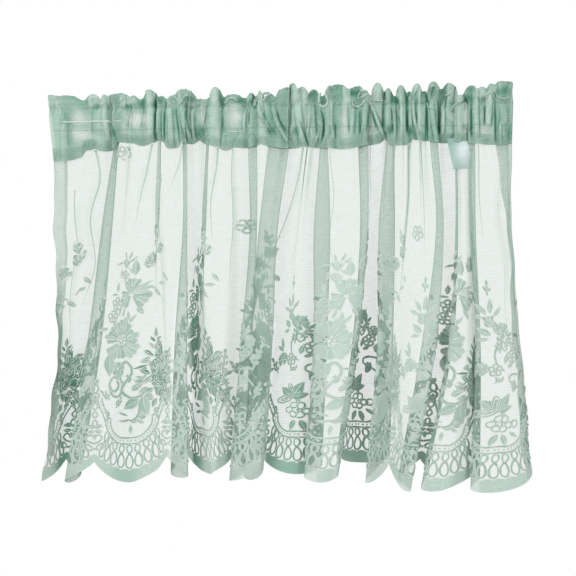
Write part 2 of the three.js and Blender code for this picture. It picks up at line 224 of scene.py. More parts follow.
def fold_curve(flat, level):
    """x, y and ride-up along the cloth's main folds, by the fold lines' own flat places."""
    last = len(FOLD_LINES) - 1
    i, t = between(LINE_FLAT, flat)
    around = [np.clip(i + step, 0, last) for step in (-1, 0, 1, 2)]
    spots = [spot(line, level) for line in around]
    flats = [LINE_FLAT[line] for line in around]
    pull = 0.35 + 0.65 * level
    slopes = []
    for k in (1, 2):
        turning = LINE_TURN[around[k]] != PASSES
        window = flats[k - 1:k + 2]
        dx = passing_slope(*(s[0] for s in spots[k - 1:k + 2]), window)
        dy = passing_slope(*(s[1] for s in spots[k - 1:k + 2]), window)
        slopes.append((np.where(turning, 0, dx), np.where(turning, LINE_TURN[around[k]] * pull, dy)))
    long = flats[2] - flats[1]
    x = cubic(spots[1][0], slopes[0][0], spots[2][0], slopes[1][0], t, long)
    y = cubic(spots[1][1], slopes[0][1], spots[2][1], slopes[1][1], t, long)
    lift = LINE_LIFT[i] + (LINE_LIFT[i + 1] - LINE_LIFT[i]) * smooth(t)
    return x, y, lift


EVEN_SPAN = 24.0  # the cloth's fullness is evened out over this much of it, above the hem
EVEN_FROM, EVEN_ALL = 1.0, 0.8  # levels from which, and above which fully, it is evened
GRID_FLATS = np.linspace(0, FLAT_WIDTH, 763)
GRID_LEVELS = np.linspace(-0.02, 1.1, 57)

# How far along the flat cloth a fold slides higher up: the fold line's flat place at the hem,
# its slide at the levels 0.78 and 0.5; it hasn't slid at the hem, and slides no further above
SLIDES = np.array([
    (0, 0, 0), (22, -4, -6), (44, -10, -12), (71, -4, -6), (118, 12, 24), (156, 8, 18),
    (212, 3, 8), (240, 0, 0), (300, 0, 0), (347, 12, 26), (382, 20, 34), (416, 30, 42),
    (432, 40, 46), (458, 32, 38), (494, 14, 20), (518, 4, 8), (555, 0, 0), (722, 0, 0),
    (775, 6, 4), (815, -4, -6), (862, -8, -16), (888, 0, 0), (914, 0, 0), (950, 16, 28),
    (1000, 16, 18), (1050, 4, 2), (1103, 6, 10), (1169, -20, -24), (1215, -10, -18),
    (1232, 0, 0), (1256, 0, 20), (1282, 0, 36), (1297, 0, 30), (1320, 0, 10), (1358, -4, -8),
    (1404, 0, 0), (1456, -14, -14), (1524, 0, 0),
], float)


def hill(reach):
    """Weights that fall away over a reach to either side."""
    weights = np.hanning(2 * reach + 3)[1:-1]
    return weights / weights.sum()


def line_places():
    """For each level and place on the flat cloth, its place by the fold lines' own numbers."""
    reach = int(EVEN_SPAN / GRID_FLATS[1])
    weights = hill(reach)
    rows = []
    for level in GRID_LEVELS:
        x, y, _ = fold_curve(GRID_FLATS, np.full_like(GRID_FLATS, level))
        along = np.concatenate([[0], np.cumsum(np.hypot(np.diff(x), np.diff(y)))])
        slides = [np.interp(level, (0.5, 0.78, 1.0), (row[2], row[1], 0)) for row in SLIDES]
        slid = np.interp(GRID_FLATS, SLIDES[:, 0] + slides, SLIDES[:, 0])
        here = np.interp(slid, GRID_FLATS, along)
        before = 2 * here[0] - here[reach:0:-1]
        after = 2 * here[-1] - here[-2:-reach - 2:-1]
        even = np.convolve(np.concatenate([before, here, after]), weights, mode="valid")
        share = smooth(np.clip((EVEN_FROM - level) / (EVEN_FROM - EVEN_ALL), 0, 1))
        rows.append(np.interp(here + (even - here) * share, along, GRID_FLATS))
    return np.array(rows)


LINE_PLACES = line_places()


def grid_row(level):
    """Which row of the grid a level lies at, with its share of the way to the next."""
    return (level - GRID_LEVELS[0]) / (GRID_LEVELS[1] - GRID_LEVELS[0])


def line_place(flat, level):
    """The place by the fold lines' own numbers of each place on the flat cloth."""
    column = np.clip(flat / GRID_FLATS[1], 0, len(GRID_FLATS) - 1.001)
    row = np.clip(grid_row(level), 0, len(GRID_LEVELS) - 1.001)
    c, r = column.astype(int), row.astype(int)
    s, t = column - c, row - r
    upper = LINE_PLACES[r, c] * (1 - s) + LINE_PLACES[r, c + 1] * s
    lower = LINE_PLACES[r + 1, c] * (1 - s) + LINE_PLACES[r + 1, c + 1] * s
    return upper * (1 - t) + lower * t


def folded(flat, level):
    """x, y and ride-up of the cloth's main folds at places given by flat and level."""
    x, y, _ = fold_curve(line_place(flat, level), level)
    return x, y, fold_curve(flat, level)[2]


# Soft creases between the folds, by the fold lines' numbers: place at the seam and at the hem,
# the stretch of levels they run over, half width, depth (- towards the room), waviness
CREASES = [
    (50, 53, -0.1, 0.50, 3.2, 4.5, 3.0), (33, 36, 0.1, 0.70, 4.0, -3.0, 2.0),
    (138, 150, -0.1, 0.25, 3.5, 3.0, 0.0), (176, 184, -0.1, 0.30, 5.0, -3.0, 1.0),
    (226, 165, -0.1, 0.26, 3.0, 4.5, 0.0), (257, 265, 0.1, 0.85, 2.6, -3.5, 1.2),
    (289, 130, -0.1, 0.14, 3.0, 4.0, 0.0), (395, 404, -0.1, 0.22, 4.0, -3.0, 0.0),
    (447, 436, -0.1, 0.30, 3.0, 4.5, 1.5), (474, 466, -0.1, 0.45, 5.0, -3.0, 2.0),
    (640, 652, -0.1, 0.50, 5.0, 2.5, 2.0), (723, 672, -0.1, 0.45, 3.4, 4.5, 0.0),
    (748, 744, -0.1, 0.26, 4.0, 3.5, 1.0), (776, 784, -0.1, 0.26, 3.0, -4.0, 0.0),
    (878, 882, -0.1, 0.45, 5.0, 2.5, 1.5), (902, 900, -0.1, 0.30, 4.0, 2.5, 0.0),
    (984, 992, -0.1, 0.30, 4.0, -3.0, 1.0), (1020, 1012, -0.1, 0.26, 4.0, 3.0, 0.0),
    (1146, 1152, -0.1, 0.40, 5.0, 3.0, 2.0), (1192, 1148, -0.1, 0.55, 3.2, 4.5, 1.5),
    (1216, 1224, -0.1, 0.34, 3.0, 4.5, 0.0), (1270, 1268, -0.1, 0.40, 4.0, 3.0, 1.0),
    (1340, 1346, -0.1, 0.40, 4.0, -3.0, 1.0), (1384, 1388, -0.1, 0.50, 5.0, 3.0, 2.0),
    (1440, 1446, -0.1, 0.30, 4.0, 3.5, 1.0), (1470, 1476, -0.1, 0.75, 5.0, -3.5, 3.0),
    (1494, 1492, 0.0, 0.80, 4.0, 3.5, 2.5),
]


def creased(place, level):
    """Depth that the soft creases add."""
    depth = np.zeros_like(place)
    for top, foot, start, end, half, deep, wavy in CREASES:
        middle = top + (foot - top) * level + wavy * np.sin(22 * level + top)
        run = np.clip((level - start) / 0.08, 0, 1)
        run = run * np.clip((end - level) / (0.6 * (end - start)), 0, 1)
        depth += deep * smooth(run) * np.exp(-((place - middle) / half) ** 2)
    return depth


def crumpled(flat, level):
    """The cloth's slight unevenness all over."""
    slow = np.sin(flat / 23 + 2.1 * np.sin(5 * level + flat / 90)) * np.sin(9 * level + flat / 61)
    fine = np.sin(flat / 9.5 + 1.6 * np.sin(14 * level) + 3 * np.sin(flat / 70))
    fine = fine * np.sin(17 * level + flat / 37)
    return 0.9 * slow + 0.35 * fine


def leaning(x):
    """How far the ruffle's lobes lean at x, - towards the room."""
    return 0.6 * table_at(LOBES, x, 3)


def gathered(flat, level):
    """The fine gathers at the seam, which die out down the cloth."""
    fade = np.clip(1 - level / 0.22, 0, 1) ** 2
    wave = np.sin(flat / 2.9 + 1.8 * np.sin(flat / 31)) * (0.75 + 0.5 * np.sin(flat / 47 + 1))
    return 1.5 * fade * wave


def side_wave(flat, level):
    """How far the skirt's side edges wave in and out."""
    left = 1.6 * np.sin(21 * level + 0.5) + 1.2 * np.sin(47 * level)
    right = 1.8 * np.sin(17 * level + 2) + 1.2 * np.sin(39 * level)
    left = np.exp(-(flat / 24) ** 2) * left
    right = np.exp(-((FLAT_WIDTH - flat) / 24) ** 2) * right
    return (left + right) * np.clip(level / 0.15, 0, 1)


def hung(flat, h):
    """Places on the hanging skirt, as columns x, y, z."""
    level = level_of(h)
    place = line_place(flat, level)
    x, y, _ = fold_curve(place, level)
    lift = fold_curve(flat, level)[2]
    x_top = folded(flat, np.zeros_like(flat))[0]
    fade = np.clip(1 - level / 0.3, 0, 1) ** 2
    y = y + 0.3 * fade * leaning(x) + creased(place, level) + gathered(flat, level)
    y = y + crumpled(flat, level) * np.clip(level / 0.1, 0, 1)
    top = scooped(x_top)
    z = top + (HEM_LINE + lift - top) * level
    return np.stack([x + side_wave(flat, level), y, z], axis=1)


def raised(flat, h, off):
    """Places off the hanging cloth by a distance, + on the room side, and the way it faces."""
    along = hung(flat + 0.5, h) - hung(flat - 0.5, h)
    up = hung(flat, h + 0.5) - hung(flat, h - 0.5)
    normal = np.cross(along, up)
    normal /= np.maximum(np.linalg.norm(normal, axis=1, keepdims=True), 1e-9)
    return hung(flat, h) + normal * np.reshape(off, (-1, 1)), normal


def scallop(flat):
    """Depth of a scallop at a flat place, from 0 at a cusp to 1 at its lowest."""
    return np.abs(np.sin(np.pi * (flat - FIRST_CUSP) / REPEAT)) ** 0.9


# ---------------------------------------------------------------- meshes from flat pieces
def placed(name, data, place=(0, 0, 0)):
    """A new object, put in the scene at a place."""
    thing = bpy.data.objects.new(name, data)
    bpy.context.collection.objects.link(thing)
    thing.location = place
    return thing


def piece_from(bm, name, material):
    mesh = bpy.data.meshes.new(name)
    bm.to_mesh(mesh)
    bm.free()
    piece = placed(name, mesh)
    mesh.materials.append(material)
    mesh.polygons.foreach_set("use_smooth", [True] * len(mesh.polygons))
    return piece


def coordinates(mesh):
    flat = np.empty(len(mesh.vertices) * 3)
    mesh.vertices.foreach_get("co", flat)
    return flat.reshape(-1, 3)


def put(mesh, places):
    mesh.vertices.foreach_set("co", (places * MM).ravel())
    mesh.update()


def keep_values(mesh, name, values):
    mesh.attributes.new(name, "FLOAT", "POINT").data.foreach_set("value", values)


def keep_flat_map(mesh, flat, h):
    """The cloth's own map, in metres on the flat cloth."""
    layer = mesh.uv_layers.new(name="cloth")
    corner = np.empty(len(mesh.loops), int)
    mesh.loops.foreach_get("vertex_index", corner)
    layer.data.foreach_set("uv", np.stack([flat[corner], h[corner]], axis=1).ravel() * MM)


def laid(piece, places, flat, h, **values):
    """Put a piece's points in place, and keep its cloth map and its values."""
    put(piece.data, places)
    keep_flat_map(piece.data, flat, h)
    for name, value in values.items():
        keep_values(piece.data, name, np.zeros_like(flat) + value)
    return piece


def gridded(name, columns, rows, material):
    """A plain grid as a piece, and each point's share of the way across and up it, 0 to 1."""
    bm = bmesh.new()
    bmesh.ops.create_grid(bm, x_segments=columns, y_segments=rows, size=0.5)
    bmesh.ops.translate(bm, vec=(0.5, 0.5, 0), verts=bm.verts)
    piece = piece_from(bm, name, material)
    across, up, _ = coordinates(piece.data).T.copy()
    return piece, across, up


# ---------------------------------------------------------------- finishes
MINT = (0.53, 0.625, 0.575)  # dense lace
DARK_MINT = (0.13, 0.285, 0.205)  # its closest work
PALE, DARKEST = -1.0, 2.3  # tones of the lace: a shape's edge, and its closest work; 1 is plain
YARN = (0.405, 0.57, 0.482)  # the net's thinner yarn
DOUBLED = (0.40, 0.578, 0.487)  # the same in the heading, where the net is doubled
EDGE = (0.79, 0.83, 0.812)  # the open outline round each shape of the lace
VEILED = (0.66, 0.795, 0.73)  # what the lace fades towards where plies lie over each other, and where it is painted paler as painted light
CLEAR = 0.67  # light that one ply of net lets through, seen square on
LET_THROUGH = 0.18  # light that the lace lets through for each ply behind it
LINES_APART = 0.004  # distance between the net's laid-in lines, in m


def add_node(tree, kind, inputs=None, **settings):
    """A node with its settings, whose inputs are links or plain values."""
    node = tree.nodes.new(kind)
    for key, value in settings.items():
        setattr(node, key, value)
    for key, value in (inputs or {}).items():
        if isinstance(value, bpy.types.NodeSocket):
            tree.links.new(value, node.inputs[key])
        else:
            node.inputs[key].default_value = value
    return node


class Finish:
    """A material and the few node steps that the finishes share."""

    def __init__(self, name, roughness, sheen=0.0):
        self.material = bpy.data.materials.new(name)
        self.material.use_nodes = True
        self.tree = self.material.node_tree
        self.shader = self.tree.nodes["Principled BSDF"]
        self.shader.inputs["Roughness"].default_value = roughness
        self.shader.inputs["Sheen Weight"].default_value = sheen
        self.shader.inputs["Sheen Tint"].default_value = (0.45, 0.75, 0.6, 1)
        self.shader.inputs["Specular IOR Level"].default_value = 0.04

    def node(self, kind, inputs=None, **settings):
        return add_node(self.tree, kind, inputs, **settings).outputs

    def math(self, operation, *values):
        return self.node("ShaderNodeMath", dict(enumerate(values)), operation=operation)[0]

    def mix(self, fac, a, b, way="MIX"):
        """Two colours mixed, each a link or three plain values."""
        a, b = (c if isinstance(c, bpy.types.NodeSocket) else (*c, 1) for c in (a, b))
        return self.node("ShaderNodeMix", {0: fac, 6: a, 7: b}, data_type="RGBA", blend_type=way)[2]

    def value(self, name):
        return self.node("ShaderNodeAttribute", attribute_name=name)["Fac"]

    def flat_map(self, scale):
        uv = self.node("ShaderNodeUVMap", uv_map="cloth")[0]
        return self.node("ShaderNodeMapping", {"Vector": uv, "Scale": scale})[0]

    def noise(self, scale, detail=3.0):
        place = self.flat_map(scale)
        return self.node("ShaderNodeTexNoise", {"Vector": place, "Scale": 1.0, "Detail": detail})[0]

    def shaded(self, colour, more=1.0):
        """The colour with painted shade and painted highlight: deepened and greener in the hollows,
        lighter on the crests.
        """
        shade = self.value("shade")
        low, high = self.math("MINIMUM", shade, 1.0), self.math("MAXIMUM", shade, 1.0)
        deep = self.node("ShaderNodeCombineColor", {
            i: self.math("MULTIPLY", high, self.math("POWER", low, power * more))
            for i, power in enumerate((1.6, 0.87, 1.1))})
        return self.mix(1.0, colour, deep[0], "MULTIPLY")

    def bump(self, height, distance):
        bump = self.node("ShaderNodeBump", {"Height": height, "Distance": distance, "Strength": 0.6})
        self.to("Normal", bump[0])

    def to(self, socket, value):
        self.tree.links.new(value, self.shader.inputs[socket])


def scaled(colour, by):
    return tuple(c * by for c in colour)


def net_finish(name, yarn, clouded):
    """Sheer net: laid-in lines 4 mm apart, uneven, over a fine ground that thickens at a slant."""
    finish = Finish(name, 0.85, sheen=0.2)
    lines = finish.node("ShaderNodeTexWave", {
        "Vector": finish.flat_map((1, 1, 1)), "Scale": 2 * math.pi / (20 * LINES_APART),
        "Distortion": 1.5, "Detail": 2.0, "Detail Scale": 0.3}, bands_direction="Y")["Fac"]
    streaks = finish.noise((60, 700, 1))
    cloudy = finish.noise((95, 80, 1), 4.0)
    lines, streaked = finish.math("MULTIPLY", lines, 0.08), finish.math("MULTIPLY", streaks, 0.9)
    pattern = finish.math("ADD", lines, streaked)
    uneven = finish.math("ADD", pattern, finish.math("MULTIPLY", cloudy, clouded))
    thick = finish.value("thick")
    yarns = finish.math("MULTIPLY", thick, finish.math("ADD", uneven, 0.51 - 0.5 * clouded))
    finish.to("Alpha", finish.math("SUBTRACT", 1.0, finish.math("POWER", CLEAR, yarns)))
    # The yarn's colour takes the painted shade and painted highlight kept in the 'shade' value
    finish.to("Base Color", finish.shaded(finish.mix(streaks, scaled(yarn, 0.9), scaled(yarn, 1.1))))
    finish.bump(pattern, 0.0004)
    return finish.material


def lace_finish(name, colour):
    """Dense lace: knitted rows, a little unevenness, its tones under painted shade, and the pale edge
    of each shape.
    It fades, and lets some light through, where plies hang one behind the other, and is painted paler
    where it stands in full light."""
    finish = Finish(name, 0.8, sheen=0.25)
    mottle = finish.noise((260, 260, 1))
    rows = finish.noise((500, 1600, 1), 1.0)
    tone = finish.value("tone")
    dark = finish.math("MULTIPLY", tone, 1 / DARKEST)
    light = finish.mix(dark, scaled(colour, 1.22), DARK_MINT)
    mottled = finish.mix(mottle, (0.6, 0.68, 0.64), (1.4, 1.35, 1.37))
    worn = finish.mix(0.45, light, mottled, "MULTIPLY")
    at_edge = finish.math("LESS_THAN", tone, 0.5 * PALE)
    edged = finish.mix(at_edge, finish.shaded(worn, 1.2), EDGE)
    finish.to("Base Color", finish.mix(finish.value("veil"), edged, VEILED))
    through_it = finish.math("MULTIPLY", finish.value("plies"), LET_THROUGH)
    finish.to("Alpha", finish.math("SUBTRACT", 1.0, through_it))
    finish.bump(rows, 0.0003)
    return finish.material


def satin_finish():
    finish = Finish("label_satin", 0.35, sheen=0.1)
    finish.shader.inputs["Specular IOR Level"].default_value = 0.3
    finish.shader.inputs["Coat Weight"].default_value = 0.15
    threads = finish.noise((2500, 250, 1), 1.0)
    # A painted highlight: the satin's colour runs from dark to pale over a soft patch, with its threads
    gleam = finish.math("ADD", finish.value("gleam"), finish.math("MULTIPLY", threads, 0.25))
    finish.to("Base Color", finish.mix(gleam, (0.29, 0.47, 0.40), (0.70, 0.80, 0.80)))
    finish.bump(threads, 0.00015)
    return finish.material


net = net_finish("net", YARN, 0.5)
heading_net = net_finish("heading_net", DOUBLED, 0.9)
dense = lace_finish("dense_lace", MINT)
satin = satin_finish()


# ---------------------------------------------------------------- the skirt of net
# Columns of the skirt's grid and the flat places where they are, so that they meet the cusps
COLUMN_ENDS = ([0, 24, 804, 813], [0, FIRST_CUSP, FIRST_CUSP + 13 * REPEAT, FLAT_WIDTH])
SKIRT_ROWS = 110
LEAST_SLANT = 0.22  # past this slant the net looks no closer
LACE_TOP, LACE_FADES = 300, 120  # height where the dense lace ends, and how far below it thins
OPENER = 0.2  # how much more open the net is among the fan's loops, and for each ply behind
FADED = 0.45  # how much the lace fades for each ply behind it
SIDE_HEM_FOOT = 0.985  # the level down to which the side hems run
SIDE_HEM_CLOSE = (2.3, 1.2)  # how close a side hem is worked at its stitches, and elsewhere


def ground(flat, h):
    """How close the net is worked: more open among the loops of the fan, and where plies hang
    behind it among the lace."""
    u = np.abs((flat - FIRST_CUSP) % REPEAT - REPEAT / 2)
    guard = np.interp(u, *zip(*GUARD))
    inside_fan = np.clip((guard - 6 - h) / 4, 0, 1) * np.clip((h - picot(flat)) / 2, 0, 1)
    open_work = OPENER * inside_fan * np.clip((FAN_FEET[-1] - u) / 5, 0, 1)
    among_lace = smooth(np.clip((LACE_TOP - h) / LACE_FADES, 0, 1))
    return (1 - open_work) * (1 - OPENER * among_lace * plies_behind(flat, h))


def finished_net(piece, flat, h, off, closeness):
    """Hang a net piece at a distance off the cloth, and keep its closeness and its painted shade."""
    places, normals = raised(flat, h, off)
    slant = np.clip(np.abs(normals[:, 1]), LEAST_SLANT, 1)
    return laid(piece, places, flat, h, thick=closeness / slant, shade=shade(flat, h))


# Painted shade in the hollows between the folds, where little light comes: place by the fold lines'
# numbers, half width, how dark, the level they start at
HOLLOWS = [
    (50, 24, 0.40, 0.55), (381, 34, 0.44, 0.30), (750, 54, 0.24, 0.45), (1000, 46, 0.18, 0.40),
    (1278, 20, 0.12, 0.40), (205, 20, 0.15, 0.60),
]

# Painted light: where the lace is painted paler, as if in full light: flat place, half width, how much
PALER = [(893, 32, 0.45), (1165, 60, 0.4), (300, 26, 0.15), (96, 26, 0.3)]


def plies():
    """For each level and flat place, how many plies of cloth hang one behind the other."""
    rows = []
    for level, places in zip(GRID_LEVELS, LINE_PLACES):
        x, _, _ = fold_curve(places, np.full_like(places, level))
        bins = np.round(x - x.min()).astype(int)
        low, high = np.minimum(bins[1:], bins[:-1]), np.maximum(bins[1:], bins[:-1])
        steps = np.zeros(bins.max() + 2)
        np.add.at(steps, low, 1)
        np.add.at(steps, high, -1)
        rows.append(np.convolve(np.cumsum(steps), np.ones(3) / 3, mode="same")[bins])
    return np.array(rows)


PLIES = plies()


def plies_behind(flat, h):
    """How many more plies hang over each place, 0 to 2."""
    row = np.clip(np.round(grid_row(level_of(h))), 0, len(GRID_LEVELS) - 1).astype(int)
    column = np.clip(np.round(flat / GRID_FLATS[1]), 0, len(GRID_FLATS) - 1).astype(int)
    return np.clip(PLIES[row, column] - 1, 0, 2)


def veil(flat, h):
    """How far the lace fades where plies overlap, and how far it is painted paler as painted light, at
    each place, 0 to 1.
    """
    faded = FADED * plies_behind(flat, h)
    for middle, half, much in PALER:
        faded = np.maximum(faded, much * np.exp(-((flat - middle) / half) ** 4))
    return faded * np.clip((h - picot(flat)) / 6, 0.3, 1)


def shade(flat, h):
    """Painted shade: how much light is painted as reaching each place, 1 in the open."""
    level = level_of(h)
    place = line_place(flat, level)
    light = np.ones_like(place)
    for middle, half, dark, start in HOLLOWS:
        within = np.exp(-((place - middle) / half) ** 4)
        light -= dark * within * smooth(np.clip((level - start) / 0.2, 0, 1))
    return light


def picot(flat):
    """Height of the hem band's inner edge, where the loops of the fan end."""
    return 13.5 - 28 * scallop(flat)


def skirt():
    columns = COLUMN_ENDS[0][-1]
    piece, across, up = gridded("skirt", columns, SKIRT_ROWS, net)
    flat = np.interp(across * columns, *COLUMN_ENDS)
    level = (1 - up) * (1 + SCALLOP * scallop(flat) / DROP)
    h = DROP * (1 - level)
    return finished_net(piece, flat, h, 0, ground(flat, h))


def side_hem(name, start, end):
    """The turned hem down a side edge: a second ply on the window side."""
    piece, across, up = gridded(name, 8, SKIRT_ROWS, net)
    flat = start + (end - start) * across
    h = DROP * (1 - (1 - up) * SIDE_HEM_FOOT)
    at_stitches = np.abs(flat - (end if start == 0 else start)) < 0.2 * SIDE_HEM
    closeness = np.where(at_stitches, *SIDE_HEM_CLOSE)
    return finished_net(piece, flat, h, -0.6, closeness)


def tucks():
    """The cloth pinched double along its soft creases, on the window side."""
    bm = bmesh.new()
    for top, foot, start, end, _, deep, wavy in CREASES:
        grid = bmesh.ops.create_grid(bm, x_segments=1, y_segments=40, size=0.5)["verts"]
        for k, vert in enumerate(grid):
            share = (k // 2) / 40
            level = max(start, 0) + 0.002 + (end - max(start, 0)) * share
            place = top + (foot - top) * level + wavy * math.sin(22 * level + top)
            flat = np.interp(place, LINE_PLACES[round(grid_row(level))], GRID_FLATS)
            wide = 0.42 * abs(deep) * (1 - share) ** 0.6 + 0.1
            vert.co = (flat + (k % 2 - 0.5) * wide, DROP * (1 - level), 0)
    piece = piece_from(bm, "tucks", net)
    flat, h, _ = coordinates(piece.data).T.copy()
    return finished_net(piece, flat, h, -0.4, 2.0)


# ---------------------------------------------------------------- flat lace, in mm
LAYER, LAYERS = 0.22, 8  # each shape lies over the last one, so many deep
OVER_EDGE = 0.12  # how far a shape stands over its own pale edge
ROUND_EDGE = 0.75  # how far that edge shows round it
TRIMMED = 0.4  # how far in from the cloth's side edges the lace ends
WOVEN = 0.35  # how uneven the shapes' edges are, as the knitting leaves them
shapes_made = itertools.count()


def next_layer():
    """How far the next shape stands over the net."""
    return OVER_NET + LAYER * (next(shapes_made) % LAYERS)


def strip(bm, right, left, steps, across=1, tone=1.0, off=OVER_NET):
    """Lace between two edges, each a function of the share 0 to 1 along it."""
    tones = bm.verts.layers.float["tone"]
    verts = bmesh.ops.create_grid(bm, x_segments=steps, y_segments=across, size=0.5)["verts"]
    for k, vert in enumerate(verts):
        along = (k % (steps + 1)) / steps
        side = (k // (steps + 1)) / across
        a, b = right(along), left(along)
        vert.co = (a[0] + (b[0] - a[0]) * side, a[1] + (b[1] - a[1]) * side, off)
        vert[tones] = tone


def beside(path, offset, closed=False):
    """A line beside a path, to its left by offset(t)."""
    def at(t):
        a, b = (t - 0.01, t + 0.01) if closed else (max(t - 0.01, 0), min(t + 0.01, 1))
        before, after, middle = path(a), path(b), path(t)
        along = (after[0] - before[0], after[1] - before[1])
        aside = offset(t) / (math.hypot(*along) or 1.0)
        return middle[0] - along[1] * aside, middle[1] + along[0] * aside
    return at


def edge_of(path, width, sign):
    """One edge of a ribbon of the given width about a path."""
    return beside(path, lambda t: sign * (width(t) if callable(width) else width) / 2)


def bare_ribbon(bm, path, width, steps, tone, off, across=1):
    strip(bm, edge_of(path, width, -1), edge_of(path, width, 1), steps, across, tone, off)


def ribbon(bm, path, width, steps, tone=1.0):
    """A ribbon of lace on its pale edge."""
    def wider(t):
        return (width(t) if callable(width) else width) + 2 * ROUND_EDGE
    off = next_layer()
    bare_ribbon(bm, path, wider, steps, PALE, off)
    bare_ribbon(bm, path, width, steps, tone, off + OVER_EDGE)


def through(points):
    """A smooth path through a few points."""
    last = len(points) - 1

    def at(t):
        place = min(max(t, 0), 1) * last
        i = min(int(place), last - 1)
        s = place - i
        p = [points[min(max(i + k, 0), last)] for k in (-1, 0, 1, 2)]
        return tuple(
            0.5 * (2 * p[1][c] + (p[2][c] - p[0][c]) * s
                   + (2 * p[0][c] - 5 * p[1][c] + 4 * p[2][c] - p[3][c]) * s * s
                   + (3 * p[1][c] - p[0][c] - 3 * p[2][c] + p[3][c]) * s ** 3)
            for c in (0, 1))
    return at


def out_from(u, h, angle, distance):
    """The place at a distance from (u, h), along an angle in degrees."""
    a = math.radians(angle)
    return u + distance * math.cos(a), h + distance * math.sin(a)


def bending(u, h, angle, length, bend):
    """A path out from (u, h) whose angle changes by bend."""
    return lambda t: out_from(u, h, angle + bend * t, length * t)


def spiral(u, h, radius, start, turn, shrink=0.0):
    """A path round (u, h), from the angle start through turn degrees, drawing in by shrink."""
    return lambda t: out_from(u, h, start + turn * t, radius * (1 - shrink * t))


def ring(bm, u, h, wide, tall, angle=0.0, width=1.3, tone=1.0, steps=16, drop=0.0):
    """A closed loop, turned by angle; drop narrows its upper end."""
    turn = math.radians(angle)

    def at(t):
        a = 2 * math.pi * t
        x = wide / 2 * math.sin(a) * (1 - drop * math.cos(a))
        y = tall / 2 * math.cos(a)
        across, up = math.cos(turn), math.sin(turn)
        return u + x * across - y * up, h + x * up + y * across
    off = next_layer()
    for half, tone_of, over in ((width / 2 + ROUND_EDGE, PALE, 0), (width / 2, tone, OVER_EDGE)):
        inner = beside(at, lambda t, out=half: -out, closed=True)
        outer = beside(at, lambda t, out=half: out, closed=True)
        strip(bm, inner, outer, steps, 1, tone_of, off + over)


def dot(bm, u, h, radius, tone=1.0):
    tones = bm.verts.layers.float["tone"]
    off = next_layer() + OVER_EDGE
    verts = bmesh.ops.create_circle(bm, cap_ends=True, segments=8, radius=radius)["verts"]
    for vert in verts:
        vert.co = (vert.co.x + u, vert.co.y + h, off)
        vert[tones] = tone


def leaf(bm, u, h, angle, length, width, bend=0.0, tone=1.0):
    """A leaf on its pale edge, in two halves beside its vein; a broad one has a notched edge."""
    rib = bending(u, h, angle, length, bend)
    notches = round(length / 4)

    def half(t):
        notch = 0.2 * abs(math.sin(math.pi * notches * t)) if width > 6 else 0
        return max(width * math.sin(math.pi * min(t ** 0.8, 1)) * (1 + notch), 0.05)

    def wider(t):
        return half(t) + 2 * ROUND_EDGE
    steps = max(5, round(length / (1.4 if width > 6 else 2.5)))
    off = next_layer()
    bare_ribbon(bm, rib, wider, steps, PALE, off, 1 if width < 4 else 2)
    if width < 4:
        bare_ribbon(bm, rib, half, steps, tone, off + OVER_EDGE)
        return
    for sign, shade_of in ((-1, 1.0), (1, 0.72)):
        def from_vein(t, sign=sign):
            along, out = edge_of(rib, half, sign)(t), rib(t)
            vein = min(0.35 / max(half(t) / 2, 0.36), 1)
            return out[0] + (along[0] - out[0]) * vein, out[1] + (along[1] - out[1]) * vein
        strip(bm, from_vein, edge_of(rib, half, sign), steps, 1, shade_of * tone, off + OVER_EDGE)


def petal(bm, u, h, angle, length, width, ribs=3, tone=1.0, start=0.12):
    """A round-ended petal on its pale edge, of a few ribs that fan out from its foot."""
    apart = math.degrees(width / (0.8 * length)) / ribs

    def wide(t, more=0.0):
        out = math.sin(math.pi / 2 * t)
        end = math.sqrt(max(1 - max((out - 0.8) / 0.2, 0) ** 2, 0))
        full = 1.04 * width / ribs * min((start + (1 - start) * out) / 0.72, 1.28)
        return max(full * end, 0.05) + more

    off = next_layer()
    for pale in (True, False):
        for i in range(ribs):
            side = i - (ribs - 1) / 2
            reach = length * (1 - 0.06 * side * side + 0.05 * math.sin(3 * i + angle))
            reach += ROUND_EDGE if pale else 0

            def rib(t, lean=angle + apart * side, reach=reach):
                return out_from(u, h, lean, reach * (start + (1 - start) * math.sin(math.pi / 2 * t)))

            def breadth(t, more=1.8 * ROUND_EDGE if pale else -0.6):
                return wide(t, more)
            rib_tone = PALE if pale else tone * (0.66 if (i + round(angle)) % 2 else 0.92)
            over = off + (0 if pale else OVER_EDGE)
            bare_ribbon(bm, rib, breadth, max(7, round(length / 3)), rib_tone, over)
    if length < 15:
        return
    for i in range(ribs - 1):
        lean = angle + apart * (i + 1 - ribs / 2)

        def slit(t, lean=lean, reach=0.4 + 0.08 * math.sin(5 * i + angle)):
            return out_from(u, h, lean, length * (0.42 + reach * t))
        bare_ribbon(bm, slit, 0.9, 2, PALE, off + 2 * OVER_EDGE)


BLOOM_HEART = 0.34  # share of a bloom's radius that its ring of small petals takes up


def bloom(bm, u, h, radius, petals, ribs, turn):
    """An open flower: broad petals round a ring of small ones."""
    share = 2 * math.pi * radius * 0.8 / petals
    for i in range(petals):
        angle = turn + 360 * i / petals + 5 * math.sin(1.7 * i)
        long = radius * (1 + 0.1 * math.sin(2.3 * i + turn))
        wide = share * (0.94 + 0.12 * math.sin(1.3 * i + 1))
        tone = 1 + 0.16 * math.sin(2.9 * i)
        petal(bm, u, h, angle, long, wide, ribs, tone, BLOOM_HEART * 0.8)
    for i in range(7):
        angle = turn + 25 + 51.4 * i
        r = radius * BLOOM_HEART * (0.62 + 0.2 * math.sin(2 * i))
        leaf(bm, *out_from(u, h, angle, 0.3 * r), angle, r, 2.6)


def outlined(bm, u, h, radius, petals=5, turn=90.0, tone=1.0, width=1.8):
    """A small flower of outlined petals about a ringed eye."""
    for i in range(petals):
        angle = turn + 360 * i / petals
        ring(bm, *out_from(u, h, angle, radius * 0.62), radius * 3.3 / petals * 1.1, radius * 0.74,
             angle - 90, width, tone, 12, -0.15)
    ring(bm, u, h, radius * 0.4, radius * 0.4, 0, width * 0.7, tone, 8)


